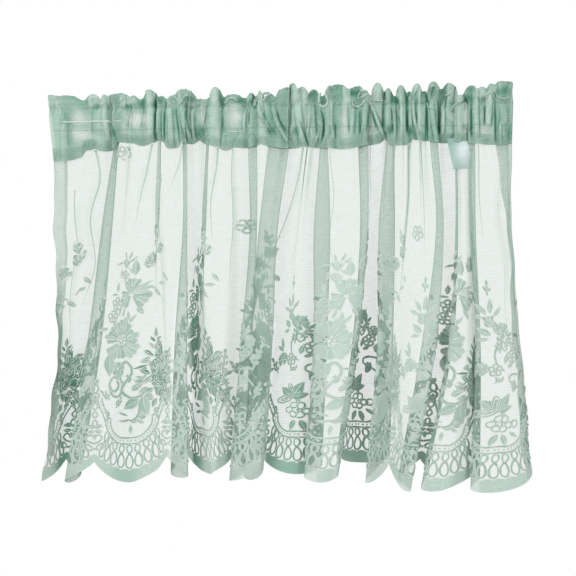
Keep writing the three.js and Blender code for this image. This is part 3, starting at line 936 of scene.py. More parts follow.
def spray(bm, u, h, angle, length, pairs, leaf_long, leaf_wide, bend):
    """A stem with slim leaves in pairs and one at its tip."""
    stem = bending(u, h, angle, length, bend)
    ribbon(bm, stem, 1.6, max(3, round(length / 4)))
    for i in range(pairs):
        t = (i + 0.6) / (pairs + 0.4)
        at = stem(t)
        for side in (-1, 1):
            long = leaf_long * (1 - 0.25 * t) * (1 + 0.12 * math.sin(3 * i + side))
            leaf(bm, *at, angle + bend * t + side * 46, long, leaf_wide, -14 * side)
    leaf(bm, *stem(1), angle + bend, leaf_long, leaf_wide)


def rose(bm, u, h, radius, turn, tone=1.0):
    """A full rose: broad outer petals round a rolled heart."""
    for i in range(6):
        long = radius * (1 + 0.1 * math.sin(2 * i))
        petal(bm, u, h, 60 * i + turn, long, radius, 2, tone * (1 + 0.2 * math.sin(2.6 * i)), 0.4)
    for k, r in enumerate((0.55, 0.28)):
        ribbon(bm, spiral(u, h, radius * r, 110 * k + turn, 290), 2.1, 12, tone)
    dot(bm, u, h, radius * 0.1, tone)


def bud(bm, u, h, angle, length):
    """A closed bud in its sepals."""
    petal(bm, u, h, angle, length, length * 0.72, 3, 1.0, 0.2)
    for side in (-1, 1):
        leaf(bm, u, h, angle + side * 60, length * 0.7, 3.2, -side * 34)


def new_lace():
    bm = bmesh.new()
    bm.verts.layers.float.new("tone")
    return bm


# ---------------------------------------------------------------- the border of one scallop
FAN_TOPS = (0, 12, 22.5, 30, 35)  # distances from the scallop's middle, at the guard
FAN_FEET = (0, 14, 27, 38, 47)  # and at the hem band
# The guard's lines, by distance from the scallop's middle and height: its dashes' and its edges'
GUARD = [(0, 28), (12, 28.3), (20, 31.5), (26, 37), (31, 44), (34.5, 52), (36, 61), (40, 71),
         (45, 81), (49, 91)]
GUARD_OUTER = [(0, 23.4), (12, 23.8), (20, 27), (27, 33), (33, 41), (38, 51), (41, 62), (46, 73),
               (51, 83), (54, 93)]
GUARD_INNER = [(0, 32.4), (13, 32.8), (19, 35.6), (25, 41), (29, 47.5), (31, 54), (31, 60)]
GUARD_UPPER = [(37, 68), (40, 74), (43, 81), (46, 89), (47, 94)]
GUARD_HOOKS = [  # distance from the middle, height, radius, first angle, turn
    (35.4, 61, 4.2, 180, -250), (37.4, 69, 4.4, 60, 240), (57, 92, 4, 180, -250),
]
GUARD_DASHES = 17


def fan_place(u):
    """Which column of the fan stands at a distance from the scallop's middle."""
    return np.interp(np.abs(u), FAN_FEET + (REPEAT / 2,), range(6))


def hem_band(bm):
    """The dense band along the hem, from the picot edge to the scallop's edge."""
    half = REPEAT / 2

    def flat_at(t):
        return FIRST_CUSP + REPEAT * t

    def outer(t):
        return t * REPEAT - half, -SCALLOP * float(scallop(flat_at(t)))

    def inner(t):
        bumps = 2.4 * abs(math.sin(math.pi * float(fan_place(t * REPEAT - half))))
        return t * REPEAT - half, float(picot(flat_at(t))) - 2.4 + bumps

    def above(t):
        along, high = inner(t)
        return along, high + 1.3
    strip(bm, inner, above, 72, 1, PALE)
    strip(bm, outer, inner, 72, 3, 0.45)


def fan(bm):
    """Columns of paired loops that fan out from the guard to the picot edge."""
    for k in range(-4, 5):
        side = -1 if k < 0 else 1
        top_u, foot_u = side * FAN_TOPS[abs(k)], side * FAN_FEET[abs(k)]
        start = (top_u, float(np.interp(abs(top_u), *zip(*GUARD_OUTER))) - 0.4)
        end = (foot_u, float(picot(FIRST_CUSP + REPEAT / 2 + foot_u)) + 0.4)
        long = math.hypot(end[0] - start[0], end[1] - start[1])
        lean = math.degrees(math.atan2(end[0] - start[0], start[1] - end[1]))

        def at(share, start=start, end=end):
            return start[0] + (end[0] - start[0]) * share, start[1] + (end[1] - start[1]) * share
        narrow = 1 - 0.07 * abs(k)
        ring(bm, *at(0.2), 8.2 * narrow, long * 0.33, lean, 1.9, 0.95, 14)
        ring(bm, *at(0.69), 10.8 * narrow, long * 0.56, lean, 2.0, 1.05, 16, 0.22)
        dot(bm, *at(0.4), 2.0)


def guard_lines(bm):
    """Two lines round the foot of the bouquet, dashes between them, and their hooks."""
    for side in (-1, 1):
        for points in (GUARD_OUTER, GUARD_INNER, GUARD_UPPER):
            ribbon(bm, through([(side * u, h) for u, h in points]), 1.8, 4 * len(points))
        middle = through([(side * u, h) for u, h in GUARD])
        for i in range(GUARD_DASHES):
            t = (i + 0.5) / GUARD_DASHES

            def dash(s, t=t, middle=middle):
                return middle(t + (s - 0.5) * 0.026)
            ribbon(bm, dash, 1.3, 2)
        for u, h, radius, start, turn in GUARD_HOOKS:
            first = start if side > 0 else 180 - start
            ribbon(bm, spiral(side * u, h, radius, first, side * turn, 0.55), 2.2, 14)


def cusp_tree(bm):
    """The small tree of loops and leaves over a cusp, at the left edge of the repeat."""
    u = -REPEAT / 2
    ring(bm, u, 108, 8, 12, 0, 2.0, 1.0, 12)
    ring(bm, u, 97, 10, 9, 0, 2.0, 1.0, 12)
    dot(bm, u, 97, 1.6)
    leaf(bm, u, 113, 90, 9, 3.2)
    for side in (-1, 1):
        leaf(bm, u, 114, 90 - side * 34, 9, 3.0, 10 * side)
        leaf(bm, u - side * 2, 88, 90 - side * 66, 9, 3.0, 20 * side)
        chain = [(u, 88), (u + side * 4, 82), (u, 76), (u + side * 3.4, 70), (u, 64)]
        ribbon(bm, through(chain), 1.5, 16)
        leaf(bm, u, 50, 90 - side * 52, 13, 6, -28 * side)
        leaf(bm, u, 46, 90 - side * 118, 12, 5, 24 * side)
        loop = [(u, 36), (u + side * 6, 40), (u + side * 11, 35), (u + side * 7, 30), (u, 27)]
        ribbon(bm, through(loop), 2.0, 16)
        ring(bm, u + side * 9, 22, 13, 7.4, side * 26, 1.9, 0.9, 14)
    ring(bm, u, 57, 6, 9, 0, 1.8, 1.0, 12)
    leaf(bm, u, 42, 270, 10, 4)
    dot(bm, u, 19, 1.8)


# ---------------------------------------------------------------- the bouquets
LEAVES_A = [  # u, h, angle, length, width, bend
    (-8, 298, 112, 13, 2.6, -10), (-4, 299, 62, 15, 2.6, 8), (-2, 296, 36, 14, 2.4, 8),
    (-13, 293, 178, 17, 2.2, 16), (-16, 284, 246, 14, 2.4, 10), (7, 277, 96, 23, 9.0, -6),
    (6, 280, 148, 12, 5.0, 0), (-24, 250, 86, 14, 5.4, 0), (-22, 246, 176, 14, 2.6, 6),
    (-28, 216, 72, 14, 2.8, 0), (-20, 214, 68, 15, 3.0, 0), (-12, 212, 74, 16, 3.0, 0),
    (-2, 208, 86, 15, 5.4, 0), (0, 206, 42, 16, 4.4, 6), (11, 229, 297, 17, 6.0, 6),
    (32, 250, 320, 16, 5.4, -8), (-38, 157, 282, 32, 16.0, -8), (-40, 196, 190, 14, 5.0, 0),
    (-14, 120, 300, 14, 5.0, 0), (15, 88, 196, 27, 13.0, 12), (20, 92, 268, 29, 13.0, 16),
    (22, 96, 312, 15, 8.0, 0), (2, 52, 268, 14, 5.0, 0), (14, 58, 200, 15, 5.0, -22),
    (12, 60, 300, 12, 5.0, 20), (-2, 66, 176, 18, 3.4, -16), (0, 60, 206, 18, 3.6, -20),
    (14, 66, 340, 12, 4.0, 18), (4, 104, 34, 18, 8.0, -10), (18, 108, 130, 12, 4.0, 8),
    (16, 116, 46, 12, 3.4, 0), (54, 268, 120, 13, 5.0, 0), (50, 262, 200, 12, 4.6, 0),
]
BUSH = [  # the rose bush's own leaves: u, h, angle, length, width, bend
    (44, 112, 6, 14, 6.0, 0), (46, 122, 34, 14, 6.0, 8), (42, 130, 66, 14, 6.0, 0),
    (34, 130, 112, 13, 6.0, 0), (28, 124, 150, 16, 6.0, -8), (28, 114, 184, 15, 5.4, 0),
    (32, 104, 226, 14, 6.0, 0), (42, 102, 276, 15, 6.0, 0), (50, 106, 322, 13, 5.4, 0),
    (30, 142, 164, 14, 5.0, 10), (32, 150, 138, 16, 5.0, 0), (36, 152, 70, 13, 5.4, 0),
    (42, 146, 40, 15, 7.0, 8), (44, 140, 64, 17, 7.4, -6), (48, 134, 12, 13, 5.0, 0),
    (34, 162, 132, 12, 4.4, 0), (36, 164, 52, 12, 4.4, 0), (34, 172, 128, 10, 3.8, 0),
    (36, 173, 50, 10, 3.8, 0), (35, 178, 90, 15, 4.4, 0), (26, 138, 196, 20, 3.4, -12),
    (22, 112, 166, 18, 4.6, -14), (36, 88, 250, 15, 6.0, 0), (48, 92, 300, 14, 5.0, 0),
    (56, 122, 76, 15, 4.0, 0), (58, 112, 104, 13, 4.0, 0), (54, 96, 40, 12, 4.0, 0),
    (30, 132, 96, 13, 5.0, 10), (38, 126, 84, 12, 5.6, 0), (46, 130, 128, 13, 5.6, 8),
    (30, 120, 216, 13, 5.6, 0), (50, 116, 350, 13, 5.6, 0), (38, 104, 262, 13, 5.4, 0),
    (24, 128, 120, 13, 5.0, 0), (26, 104, 196, 14, 5.4, 8), (50, 134, 60, 15, 5.6, 0),
    (40, 152, 100, 13, 5.6, 0), (28, 148, 196, 12, 4.6, 0), (46, 156, 30, 12, 4.6, 0),
    (44, 90, 262, 13, 5.2, 0), (30, 96, 226, 13, 5.2, 0), (56, 104, 16, 12, 4.6, 0),
    (58, 128, 30, 11, 4.4, 0), (20, 118, 150, 12, 4.4, 0),
]
SPRAYS_A = [  # u, h, angle, length, pairs, leaf length, leaf width, bend
    (40, 322, 96, 16, 2, 9, 3.2, 10), (-34, 90, 122, 14, 2, 9, 3.2, 14),
    (-22, 78, 60, 12, 2, 8, 3.0, 0), (54, 126, 84, 34, 3, 8, 2.8, 0),
    (-44, 240, 160, 10, 1, 8, 3.0, 8), (52, 150, 250, 30, 3, 6, 2.4, 20),
]
SCROLLS_A = [  # path points
    [(-12, 142), (-4, 146), (4, 138), (4, 128), (-2, 120), (-12, 106), (-14, 100)],
    [(-21, 118), (-18, 110), (-24, 103), (-33, 106), (-34, 116), (-27, 124), (-19, 120)],
    [(-34, 110), (-30, 98), (-20, 94), (-12, 102), (-12, 114), (-16, 122)],
    [(-14, 102), (-4, 95), (8, 92), (18, 95), (26, 104)],
    [(-4, 126), (2, 120), (-2, 116)],
    [(20, 92), (16, 80), (14, 68), (8, 60), (0, 58)],
    [(14, 64), (20, 60), (22, 66), (16, 70)],
]
LEAVES_B = [  # as for the first bouquet
    (-20, 224, 118, 20, 5.5, 6), (-16, 226, 82, 22, 6.0, 6), (-12, 222, 40, 18, 5.2, 8),
    (-24, 220, 160, 15, 5.0, 0), (-16, 194, 140, 18, 7.0, 0), (-8, 196, 98, 20, 7.0, 0),
    (-2, 194, 46, 22, 6.4, 10), (-18, 190, 192, 14, 5.0, 0), (4, 152, 78, 16, 6.0, 0),
    (8, 148, 20, 13, 5.0, 10), (-2, 132, 216, 12, 4.4, 0), (0, 84, 300, 10, 5.0, 0),
    (-2, 50, 234, 18, 7.0, 10), (4, 50, 300, 18, 7.0, -10), (14, 54, 330, 14, 5.0, 0),
    (16, 112, 64, 18, 7.0, 8), (-30, 160, 98, 20, 6.0, 8), (-28, 158, 150, 16, 5.4, 0),
    (24, 150, 40, 16, 6.0, 0), (26, 168, 100, 18, 6.0, -8), (-6, 204, 300, 12, 4.0, 0),
]
SPRAYS_B = [
    (-4, 168, 98, 22, 3, 10, 3.8, -12), (2, 176, 38, 20, 3, 9, 3.4, 16),
    (-36, 124, 112, 20, 2, 9, 3.4, 8), (30, 138, 84, 30, 3, 10, 3.6, -8),
    (-18, 252, 80, 14, 1, 9, 3.2, 8), (34, 96, 64, 16, 2, 9, 3.4, 10),
]
SCROLLS_B = [
    [(2, 186), (-8, 178), (-11, 164), (-8, 152), (2, 142)],
    [(-2, 184), (6, 182), (8, 175), (3, 171), (0, 175)],
    [(-10, 134), (-8, 128), (-2, 128), (0, 134)],
    [(30, 136), (20, 138), (11, 134), (11, 127), (17, 125), (18, 129)],
    [(14, 122), (24, 120), (32, 112)],
    [(0, 76), (2, 82), (-4, 88)],
]
LOTUS_AT, LILY_AT = (-6, 84), (3, 249)
LOTUS = [  # angle, length, width, whether only outlined
    (100, 22, 9, True), (138, 27, 12, False), (58, 30, 12, False), (184, 26, 10, True),
    (20, 22, 9, False),
]
LILY = [  # angle, length, width, ribs
    (82, 24, 18, 3), (322, 27, 22, 3), (232, 27, 17, 3), (192, 18, 10, 2),
]
LILY_STRAPS = [  # angle, length, width, bend
    (124, 24, 8.0, 0), (46, 30, 5.4, -20), (28, 34, 5.4, -24), (10, 29, 5.0, -24), (352, 20, 4.4, 0),
]
CLUSTER = [  # u, h of each petal
    (-11, 66), (-3, 73), (6, 72), (12, 64), (5, 58), (-5, 59), (20, 66),
]
BUSH_HEART, BUSH_TONE = 1.5, 1.75  # how closely the bush's heart and its leaves are worked


def greenery(bm, scrolls, wide, less, sprays, leaves):
    """The scrolls of a bouquet, which narrow from wide by less, then its sprays and leaves."""
    for points in scrolls:
        ribbon(bm, through(points), lambda t: wide - less * t, 4 * len(points))
    for row in sprays:
        spray(bm, *row)
    for row in leaves:
        leaf(bm, *row)


def bouquet_a(bm):
    """Open blooms over scrolls, with a rose bush at the right."""
    greenery(bm, SCROLLS_A, 4.3, 1.6, SPRAYS_A, LEAVES_A)
    for angle, long, wide, ribs in LILY:
        petal(bm, *LILY_AT, angle, long, wide, ribs, 1.1, 0.16)
    for row in LILY_STRAPS:
        leaf(bm, *LILY_AT, *row)
    bloom(bm, -14, 178, 31, 7, 3, 18)
    rose(bm, -19, 134, 11, 40)
    petal(bm, -8, 283, 92, 16, 13, 3, 1.0, 0.12)
    rose(bm, 25, 294, 10, 20, 1.1)
    bud(bm, 40, 304, 84, 17)
    outlined(bm, -9, 275, 6, 5, 90, 1.0, 1.5)
    outlined(bm, -23, 232, 9.5)
    outlined(bm, -31, 213, 9)
    for foot, tall, wide in ((90, 62, 24), (134, 42, 12)):
        def heart(t, foot=foot, tall=tall):
            return 41 - 3 * t, foot + tall * t

        def across(t, wide=wide):
            return wide * math.sin(math.pi * t) ** 0.7 * (1 + 0.15 * math.sin(19 * t)) + 0.1
        bare_ribbon(bm, heart, across, 20, BUSH_HEART, OVER_NET - 0.1, 2)
    for k, row in enumerate(BUSH):
        leaf(bm, *row, BUSH_TONE + 0.45 * math.sin(2 * k))
    rose(bm, 41, 117, 12, 0, 1.9)
    outlined(bm, 38, 141, 7, 5, 90, 2.0, 1.8)
    outlined(bm, 50, 100, 7, 5, 90, 2.0, 1.8)


def bouquet_b(bm):
    """A slender spray over a lotus and a cluster of outlined petals."""
    greenery(bm, SCROLLS_B, 2.5, 0.9, SPRAYS_B, LEAVES_B)
    for angle, long, wide, bare in LOTUS:
        if bare:
            middle = out_from(*LOTUS_AT, angle, long * 0.52)
            ring(bm, *middle, wide, long, angle - 90, 1.6, 1.0, 16)
            ring(bm, *middle, wide * 0.3, long * 0.5, angle - 90, 1.5)
        else:
            leaf(bm, *LOTUS_AT, angle, long, wide)
    for u, h in CLUSTER:
        ring(bm, u, h, 8.5, 11, 25 * u, 1.6, 1.0, 12)
    dot(bm, 2, 65, 1.8)
    outlined(bm, -10, 144, 9)
    outlined(bm, 17, 163, 9)
    outlined(bm, 22, 178, 7)
    bloom(bm, 2, 200, 11, 5, 2, 50)
    bloom(bm, -28, 146, 10, 5, 2, 20)
    bud(bm, -16, 206, 96, 17)


# Loose daisies over the bouquets: flat place, height, stretch across
DAISIES = [(180, 456, 1.75), (518, 352, 1.1), (1190, 336, 1.0)]


def loose_daisies(bm):
    for u, h, wide in DAISIES:
        before = len(bm.verts)
        outlined(bm, u, h, 10.5, 5, 54, 1.0, 2.0)
        for vert in list(bm.verts)[before:]:
            vert.co.x = u + wide * (vert.co.x - u)


def copied(build, shifts):
    """A flat piece of lace built once and laid out at each shift, trimmed at the side edges."""
    one = new_lace()
    build(one)
    unit = bpy.data.meshes.new("unit")
    one.to_mesh(unit)
    one.free()
    bm = new_lace()
    for shift in shifts:
        before = len(bm.verts)
        bm.from_mesh(unit)
        bm.verts.ensure_lookup_table()
        bmesh.ops.translate(bm, vec=(shift, 0, 0), verts=bm.verts[before:])
    bpy.data.meshes.remove(unit)
    for edge, outward in ((TRIMMED, -1), (FLAT_WIDTH - TRIMMED, 1)):
        whole = bm.verts[:] + bm.edges[:] + bm.faces[:]
        bmesh.ops.bisect_plane(bm, geom=whole, plane_co=(edge, 0, 0), plane_no=(outward, 0, 0),
                               clear_outer=True)
    return bm


def laid_on(bm, name):
    """Lay a flat piece of lace on the hanging skirt."""
    piece = piece_from(bm, name, dense)
    flat, h, off = coordinates(piece.data).T.copy()
    uneven = WOVEN * np.clip((h - picot(flat)) / 4, 0, 1)
    flat, h = (flat + uneven * np.sin(1.9 * h + 1.3 * np.sin(0.8 * flat)),
               h + uneven * np.sin(2.2 * flat + 1.7 * np.sin(0.7 * h)))
    places, _ = raised(flat, h, off)
    return laid(piece, places, flat, h, shade=shade(flat, h), veil=veil(flat, h),
                plies=plies_behind(flat, h))


def scallop_middles(first=0, step=1):
    return [FIRST_CUSP + REPEAT * (n + 0.5) for n in range(first - 1, SCALLOPS, step)]


def border(bm):
    hem_band(bm)
    fan(bm)
    guard_lines(bm)
    cusp_tree(bm)


# ---------------------------------------------------------------- the heading
LOBE_ROUND = 22.0  # how far a lobe of the ruffle falls away to its sides
RUFFLE_LOOP = 1.3  # how far the ruffle's lobes roll over between gathers
POCKET_ROWS, RUFFLE_ROWS = 16, 12

# The ridges of the gathers, with painted light on their crests and painted shade by their creases: x
# and height at the upper end, x and height at the lower end, half width, how far it stands out towards
# the room (- for a crease), bend
RIDGES = [
    (-340, 2, -341, -76, 1.4, -2, 0), (-329, 2, -328, -60, 1.3, -2.5, 0),
    (-293, 14, -291, -42, 1.4, -2.5, -1), (-284, -4, -280, -46, 1.8, 2.5, 1),
    (-275, 20, -266, -46, 4.2, 5, -2), (-264, -2, -256, -46, 1.4, -3, -1),
    (-244, 18, -258, 0, 2.4, 2.5, 0), (-232, 4, -236, -32, 1.3, -2, 0),
    (-214, 4, -216, -32, 1.4, -2.5, 1), (-206, 27, -199, -42, 6.5, 3.5, 1),
    (-195, 10, -196, -50, 1.5, -4, 1), (-188, 6, -189, -50, 4.0, 4.5, 0),
    (-179, 8, -180, -52, 1.7, -5, 0), (-172, -4, -169, -60, 4.4, 4.5, 1),
    (-163, -2, -156, -54, 1.5, -4, 1), (-151, 8, -141, -50, 4.0, 5.5, -4),
    (-138, -4, -135, -50, 2.6, 4, 0), (-166, 18, -152, 0, 2.2, 4, 0),
    (-144, 14, -155, 0, 1.4, -3.5, 0), (-116, 4, -118, -26, 1.5, -3.5, 1),
    (-104, 26, -104, -30, 7.5, 3.5, 0), (-106, -20, -99, -60, 12.0, 4, 2),
    (-93, 8, -94, -60, 1.6, -4.5, 2), (-51, 10, -58, -40, 2.8, 4.5, -3),
    (-45, 8, -50, -30, 1.4, -3.5, -2), (-40, 8, -12, -46, 3.6, 5.5, -4),
    (-32, -18, -14, -44, 1.5, -4.5, -1), (-29, 8, -25, -30, 1.4, -3.5, 0),
    (-53, -40, -40, -58, 2.4, 3.5, 3), (-15, 3, 12, -60, 3.4, 6, -5), (-7, -8, 8, -42, 1.4, -4, -4),
    (11, 32, 11, -34, 1.4, -3.5, 0), (20, 28, 32, -60, 5.6, 6, -2), (27, -24, 38, -62, 1.5, -5, 0),
    (40, 0, 36, -50, 2.2, 3, 2), (48, 2, 52, -46, 1.4, -3, 0), (54, -40, 46, -60, 2.4, 3.5, 2),
    (57, -6, 58, -58, 1.7, -5, 5), (74, 4, 74, -38, 2.4, 4.5, 0), (67, -6, 66, -52, 3.6, 4, 2),
    (79, -30, 80, -56, 1.4, -3.5, 0), (98, 2, 100, -42, 1.4, -2.5, 0),
    (106, -6, 104, -46, 3.0, 3.5, 0), (112, -44, 127, -58, 2.4, 3.5, 3),
    (125, -2, 122, -42, 4.0, 5, 0), (116, -10, 117, -46, 1.4, -3.5, 0),
    (128, 6, 153, -54, 3.2, 5.5, 1), (134, -8, 142, -38, 1.4, -3.5, -1),
    (142, 26, 143, 6, 6.0, 4.5, 0), (150, 4, 150, -36, 1.4, -4, 0), (157, 20, 159, -40, 5.2, 6, 0),
    (166, 2, 168, -52, 2.4, 4, 1), (177, 22, 180, -44, 4.6, 6, 1),
    (185, 10, 186, -42, 1.4, -4.5, 0), (190, 10, 191, -38, 3.0, 4.5, 0),
    (200, 26, 190, 8, 4.6, 5, 0), (195, 2, 203, -50, 2.8, 5, -2), (208, 16, 206, -58, 6.0, 6.5, 0),
    (215, 12, 216, -58, 1.6, -5.5, 0), (222, 2, 231, -62, 3.6, 5.5, -1),
    (231, 4, 233, -46, 1.4, -3.5, 0), (225, 28, 218, 8, 3.6, 5, -2),
    (238, 4, 237, -48, 3.6, 4.5, 1), (244, 12, 240, -12, 1.4, -3.5, 0),
    (268, 4, 250, -9, 2.4, 4, 1), (271, 2, 272, -12, 1.4, -3, 0), (264, -32, 286, -46, 3.0, 4, 4),
    (286, 18, 288, -52, 4.8, 6, 0), (280, -2, 281, -52, 1.4, -3.5, 0),
    (300, -4, 300, -32, 1.4, -3.5, 0), (307, 16, 305, -36, 5.0, 5.5, 0),
    (315, 14, 316, -60, 1.6, -4, 0), (325, -2, 327, -32, 6.0, 3, 2),
    (322, -34, 323, -62, 2.6, 3.5, 0),
]

# Painted shadows under and between the folds of the heading: x, height, half width, half height,
# how dark
PAINTED_SHADOWS = [
    (-286, 3, 5, 6, 0.4), (-259, -40, 8, 8, 0.35), (-189, 9, 6, 6, 0.3), (-231, 2, 10, 6, 0.25),
    (-170, 10, 7, 5, 0.3), (-127, -38, 9, 9, 0.4), (-91, 7, 4, 8, 0.45), (-70, 9, 14, 4, 0.3),
    (-44, 5, 4, 8, 0.5), (-29, 12, 3, 5, 0.5), (-16, -39, 6, 5, 0.4), (20, -39, 6, 7, 0.35),
    (61, 8, 4, 8, 0.55), (44, 17, 8, 9, 0.25), (102, 17, 8, 6, 0.3), (114, 15, 5, 5, 0.5),
    (169, 4, 5, 6, 0.4), (190, -42, 6, 7, 0.4), (161, -40, 6, 7, 0.35), (224, 17, 6, 7, 0.3),
    (216, 1, 3, 4, 0.5), (174, 19, 4, 5, 0.3), (199, 4, 4, 5, 0.3), (253, 22, 5, 5, 0.25),
    (278, 20, 5, 5, 0.25), (-198, 3, 4, 5, 0.3), (-241, 1, 7, 5, 0.3), (-216, 7, 4, 5, 0.35),
    (-140, 11, 4, 5, 0.3), (251, 3, 4, 7, 0.3), (275, 6, 9, 6, 0.4), (297, 4, 5, 6, 0.45),
    (329, 17, 11, 7, 0.34), (337, -45, 6, 14, 0.3), (277, -37, 7, 5, 0.25),
]

# Places where a single flat ply lets the light through: x, height, half width, half height,
# how much
CLEAR_PLACES = [
    (-318, -12, 17, 12, 0.7), (-312, -38, 21, 14, 0.75), (-222, -17, 19, 15, 0.8),
    (-124, -12, 9, 13, 0.5), (-75, -17, 14, 17, 0.75), (0, -3, 8, 11, 0.3), (37, -26, 8, 20, 0.25),
    (89, -25, 8, 26, 0.55), (171, -10, 5, 14, 0.5), (135, -40, 8, 8, 0.35), (275, -16, 6, 17, 0.5),
    (301, -43, 13, 10, 0.55), (330, -8, 13, 15, 0.35), (-253, 9, 13, 12, 0.4),
    (-338, 10, 18, 10, 0.3),
]

# Edges of the ruffle that curl over, drawn as pale painted highlights over painted shadow lines: width,
# points along each
CURLED_EDGES = [
    (1.7, [(-39, 15), (-43, 7), (-43, 0), (-40, 7), (-37, 12)]),
    (1.7, [(-22, 21), (-29, 17), (-31, 11), (-29, 7), (-25, 12), (-20, 19)]),
    (2.2, [(57, 18), (55, 7), (58, -2), (65, -2), (68, 5), (64, 16)]),
    (1.8, [(127, 19), (119, 20), (114, 16), (113, 10), (120, 10), (127, 15)]),
    (1.7, [(104, 6), (105, 1), (109, -4), (118, -1), (125, 6)]),
    (1.0, [(250, -12), (254, -5), (267, 4)]), (1.1, [(135, 5), (150, 5)]),
    (1.1, [(215, 1), (217, -6), (222, -8)]), (1.1, [(215, 14), (218, 21), (223, 25), (229, 23)]),
    (1.1, [(238, 14), (243, 12), (248, 14), (252, 18)]),
    (1.1, [(302, 5), (304, 12), (308, 15), (312, 12), (314, 6)]),
    (1.3, [(-155, 3), (-152, 11), (-147, 16), (-143, 17)]),
    (1.2, [(-89, 5), (-84, 11), (-77, 13), (-70, 9)]),
    (1.0, [(316, 11), (322, 7), (330, 6), (336, 8)]),
    (1.1, [(161, 0), (164, -6), (166, -18), (165, -30)]),
]
# The gap that a drawn thread leaves: x from and to, height, half height
PULLED = (-338, -252, -21, 1.2)
DRAWN_THREADS = [  # width, points along each
    (1.5, [(-338, -21), (-300, -20.5), (-264, -21)]), (1.2, [(-256, -21), (-246, -21)]),
    (0.9, [(-80, -39), (-66, -39)]), (0.8, [(-88, -43), (-82, -42)]),
]


def domed(x):
    """Height of the ruffle's crest at x: the highest of its round lobes there."""
    top = np.full_like(x, 2.0)
    for middle, half, height, _ in LOBES:
        round_top = np.sqrt(np.clip(1 - ((x - middle) / (1.08 * half)) ** 2, 0, 1))
        top = np.maximum(top, height - LOBE_ROUND * (1 - round_top))
    return top


def along_ridge(x, z, ridge):
    """Distance from a ridge's middle line at each place, and how much of the ridge is there."""
    x_top, top, x_foot, foot, _, _, bend = ridge
    share = np.clip((top - z) / (top - foot), 0, 1)
    middle = x_top + (x_foot - x_top) * share + bend * np.sin(math.pi * share)
    ends = np.clip((top + 3 - z) / 7, 0, 1) * np.clip((z - foot + 3) / 9, 0, 1)
    return x - middle, smooth(ends)


def ridged(x, z):
    """Depth that the gathers' ridges add."""
    depth = np.zeros_like(x)
    for ridge in RIDGES:
        aside, there = along_ridge(x, z, ridge)
        half, out = ridge[4:6]
        if out > 0:
            depth -= out * there * np.sqrt(np.clip(1 - (aside / half) ** 2, 0, 1))
        else:
            depth -= out * there * np.exp(-(aside / half) ** 2)
    return depth


def spots_at(x, z, spots):
    """The sum of soft round spots: x, height, half width, half height, strength."""
    return sum(much * np.exp(-(((x - a) / wide) ** 2 + ((z - b) / tall) ** 2) ** 1.5)
               for a, b, wide, tall, much in spots)


def ridge_light(x, z):
    """Painted light that the ridges catch, less the painted shade of their creases and of the painted
    shadows.
    """
    light = -1.25 * spots_at(x, z, PAINTED_SHADOWS)
    for ridge in RIDGES:
        aside, there = along_ridge(x, z, ridge)
        half, out = ridge[4:6]
        if out > 0:
            crest = np.clip(1 - ((aside + 0.25 * half) / half) ** 2, 0, 1)
            crease = np.exp(-((np.abs(aside) - 1.1 * half) / 1.0) ** 2) * np.where(aside > 0, 1.0, 0.55)
            light += there * out * (0.02 * crest - 0.075 * crease)
        else:
            light += there * out * 0.105 * np.exp(-(aside / (0.8 * half)) ** 2)
    return light


def side_lean(flat, z):
    """How far the heading's ends stand out to the sides, more so towards the top."""
    left = smooth(np.clip(1 - flat / 45, 0, 1))
    right = smooth(np.clip((flat - FLAT_WIDTH + 45) / 45, 0, 1))
    return (6 * right - 9 * left) * np.clip((z + 60) / 80, 0, 1)


def pocket_place(flat, up, ply):
    """A place on the pocket: up runs from 0 at its foot to 1 at the stitch line; ply is -1
    on the room side and 1 on the window side."""
    x, y, _ = folded(flat, np.zeros_like(flat))
    foot = scooped(x)
    z = foot * (1 - up)
    depth = table_at(POCKET_FACE, up, 1) - 0.6
    belly = np.sin(math.pi * np.clip(up, 0, 1))
    tuck = gathered(flat, np.zeros_like(flat)) * (1 - 0.3 * belly)
    crumple = 1.1 * np.sin(flat / 7 + 9 * up + 2 * np.sin(flat / 41)) * np.sin(6 * up + flat / 23)
    wave = leaning(x) * (0.35 + 0.3 * up) * 0.7
    droop = (np.clip(-56 - foot, 0, 12) / 12) * 2.5 * (1 - up) ** 3
    y_here = ply * depth + y * (1 - 0.35 * belly) + wave + tuck - droop
    y_here = y_here + (crumple + ridged(x, z) * (0.9 - 0.2 * ply)) * (0.4 + 0.6 * belly)
    return np.stack([x + side_lean(flat, z), y_here, z], axis=1)


def ruffle_place(flat, up, ply):
    """A place on the ruffle: up runs from 0 at the stitch line to 1 at its crest."""
    x, y, _ = folded(flat, np.zeros_like(flat))
    lobes = LOBES[:, 0]
    i, t = between(lobes, x)
    apart = lobes[i + 1] - lobes[i]
    lean = leaning(x)
    x = x + up ** 0.8 * RUFFLE_LOOP / (2 * math.pi) * apart * np.sin(2 * math.pi * np.clip(t, 0, 1))
    sway = table_at(SWAYS, x, 1)
    high = domed(x + sway)
    x = x + sway * up ** 1.3
    edge = 0.8 * np.sin(flat / 3.7 + np.sin(flat / 19)) * up * up
    z = high * up - 0.15 * np.abs(lean) * up * up + edge
    tuck = gathered(flat, np.zeros_like(flat)) * (1 - 0.5 * up)
    flare = lean * (0.65 + 0.9 * up ** 0.8)
    puff = ply * (1.2 + 1.6 * np.sin(math.pi * np.clip(up, 0, 1)))
    crumple = 1.6 * np.sin(flat / 6 - 5 * up + 2 * np.sin(flat / 37)) * np.sin(7 * up + flat / 19)
    y_here = y * (1 - 0.3 * up) + flare + tuck + crumple * (1 - 0.5 * up) + puff * (1 - up ** 6)
    y_here = y_here + ridged(x, z) * (0.9 - 0.2 * ply) * (0.4 + 0.5 * up)
    return np.stack([x + side_lean(flat, z), y_here, z], axis=1)


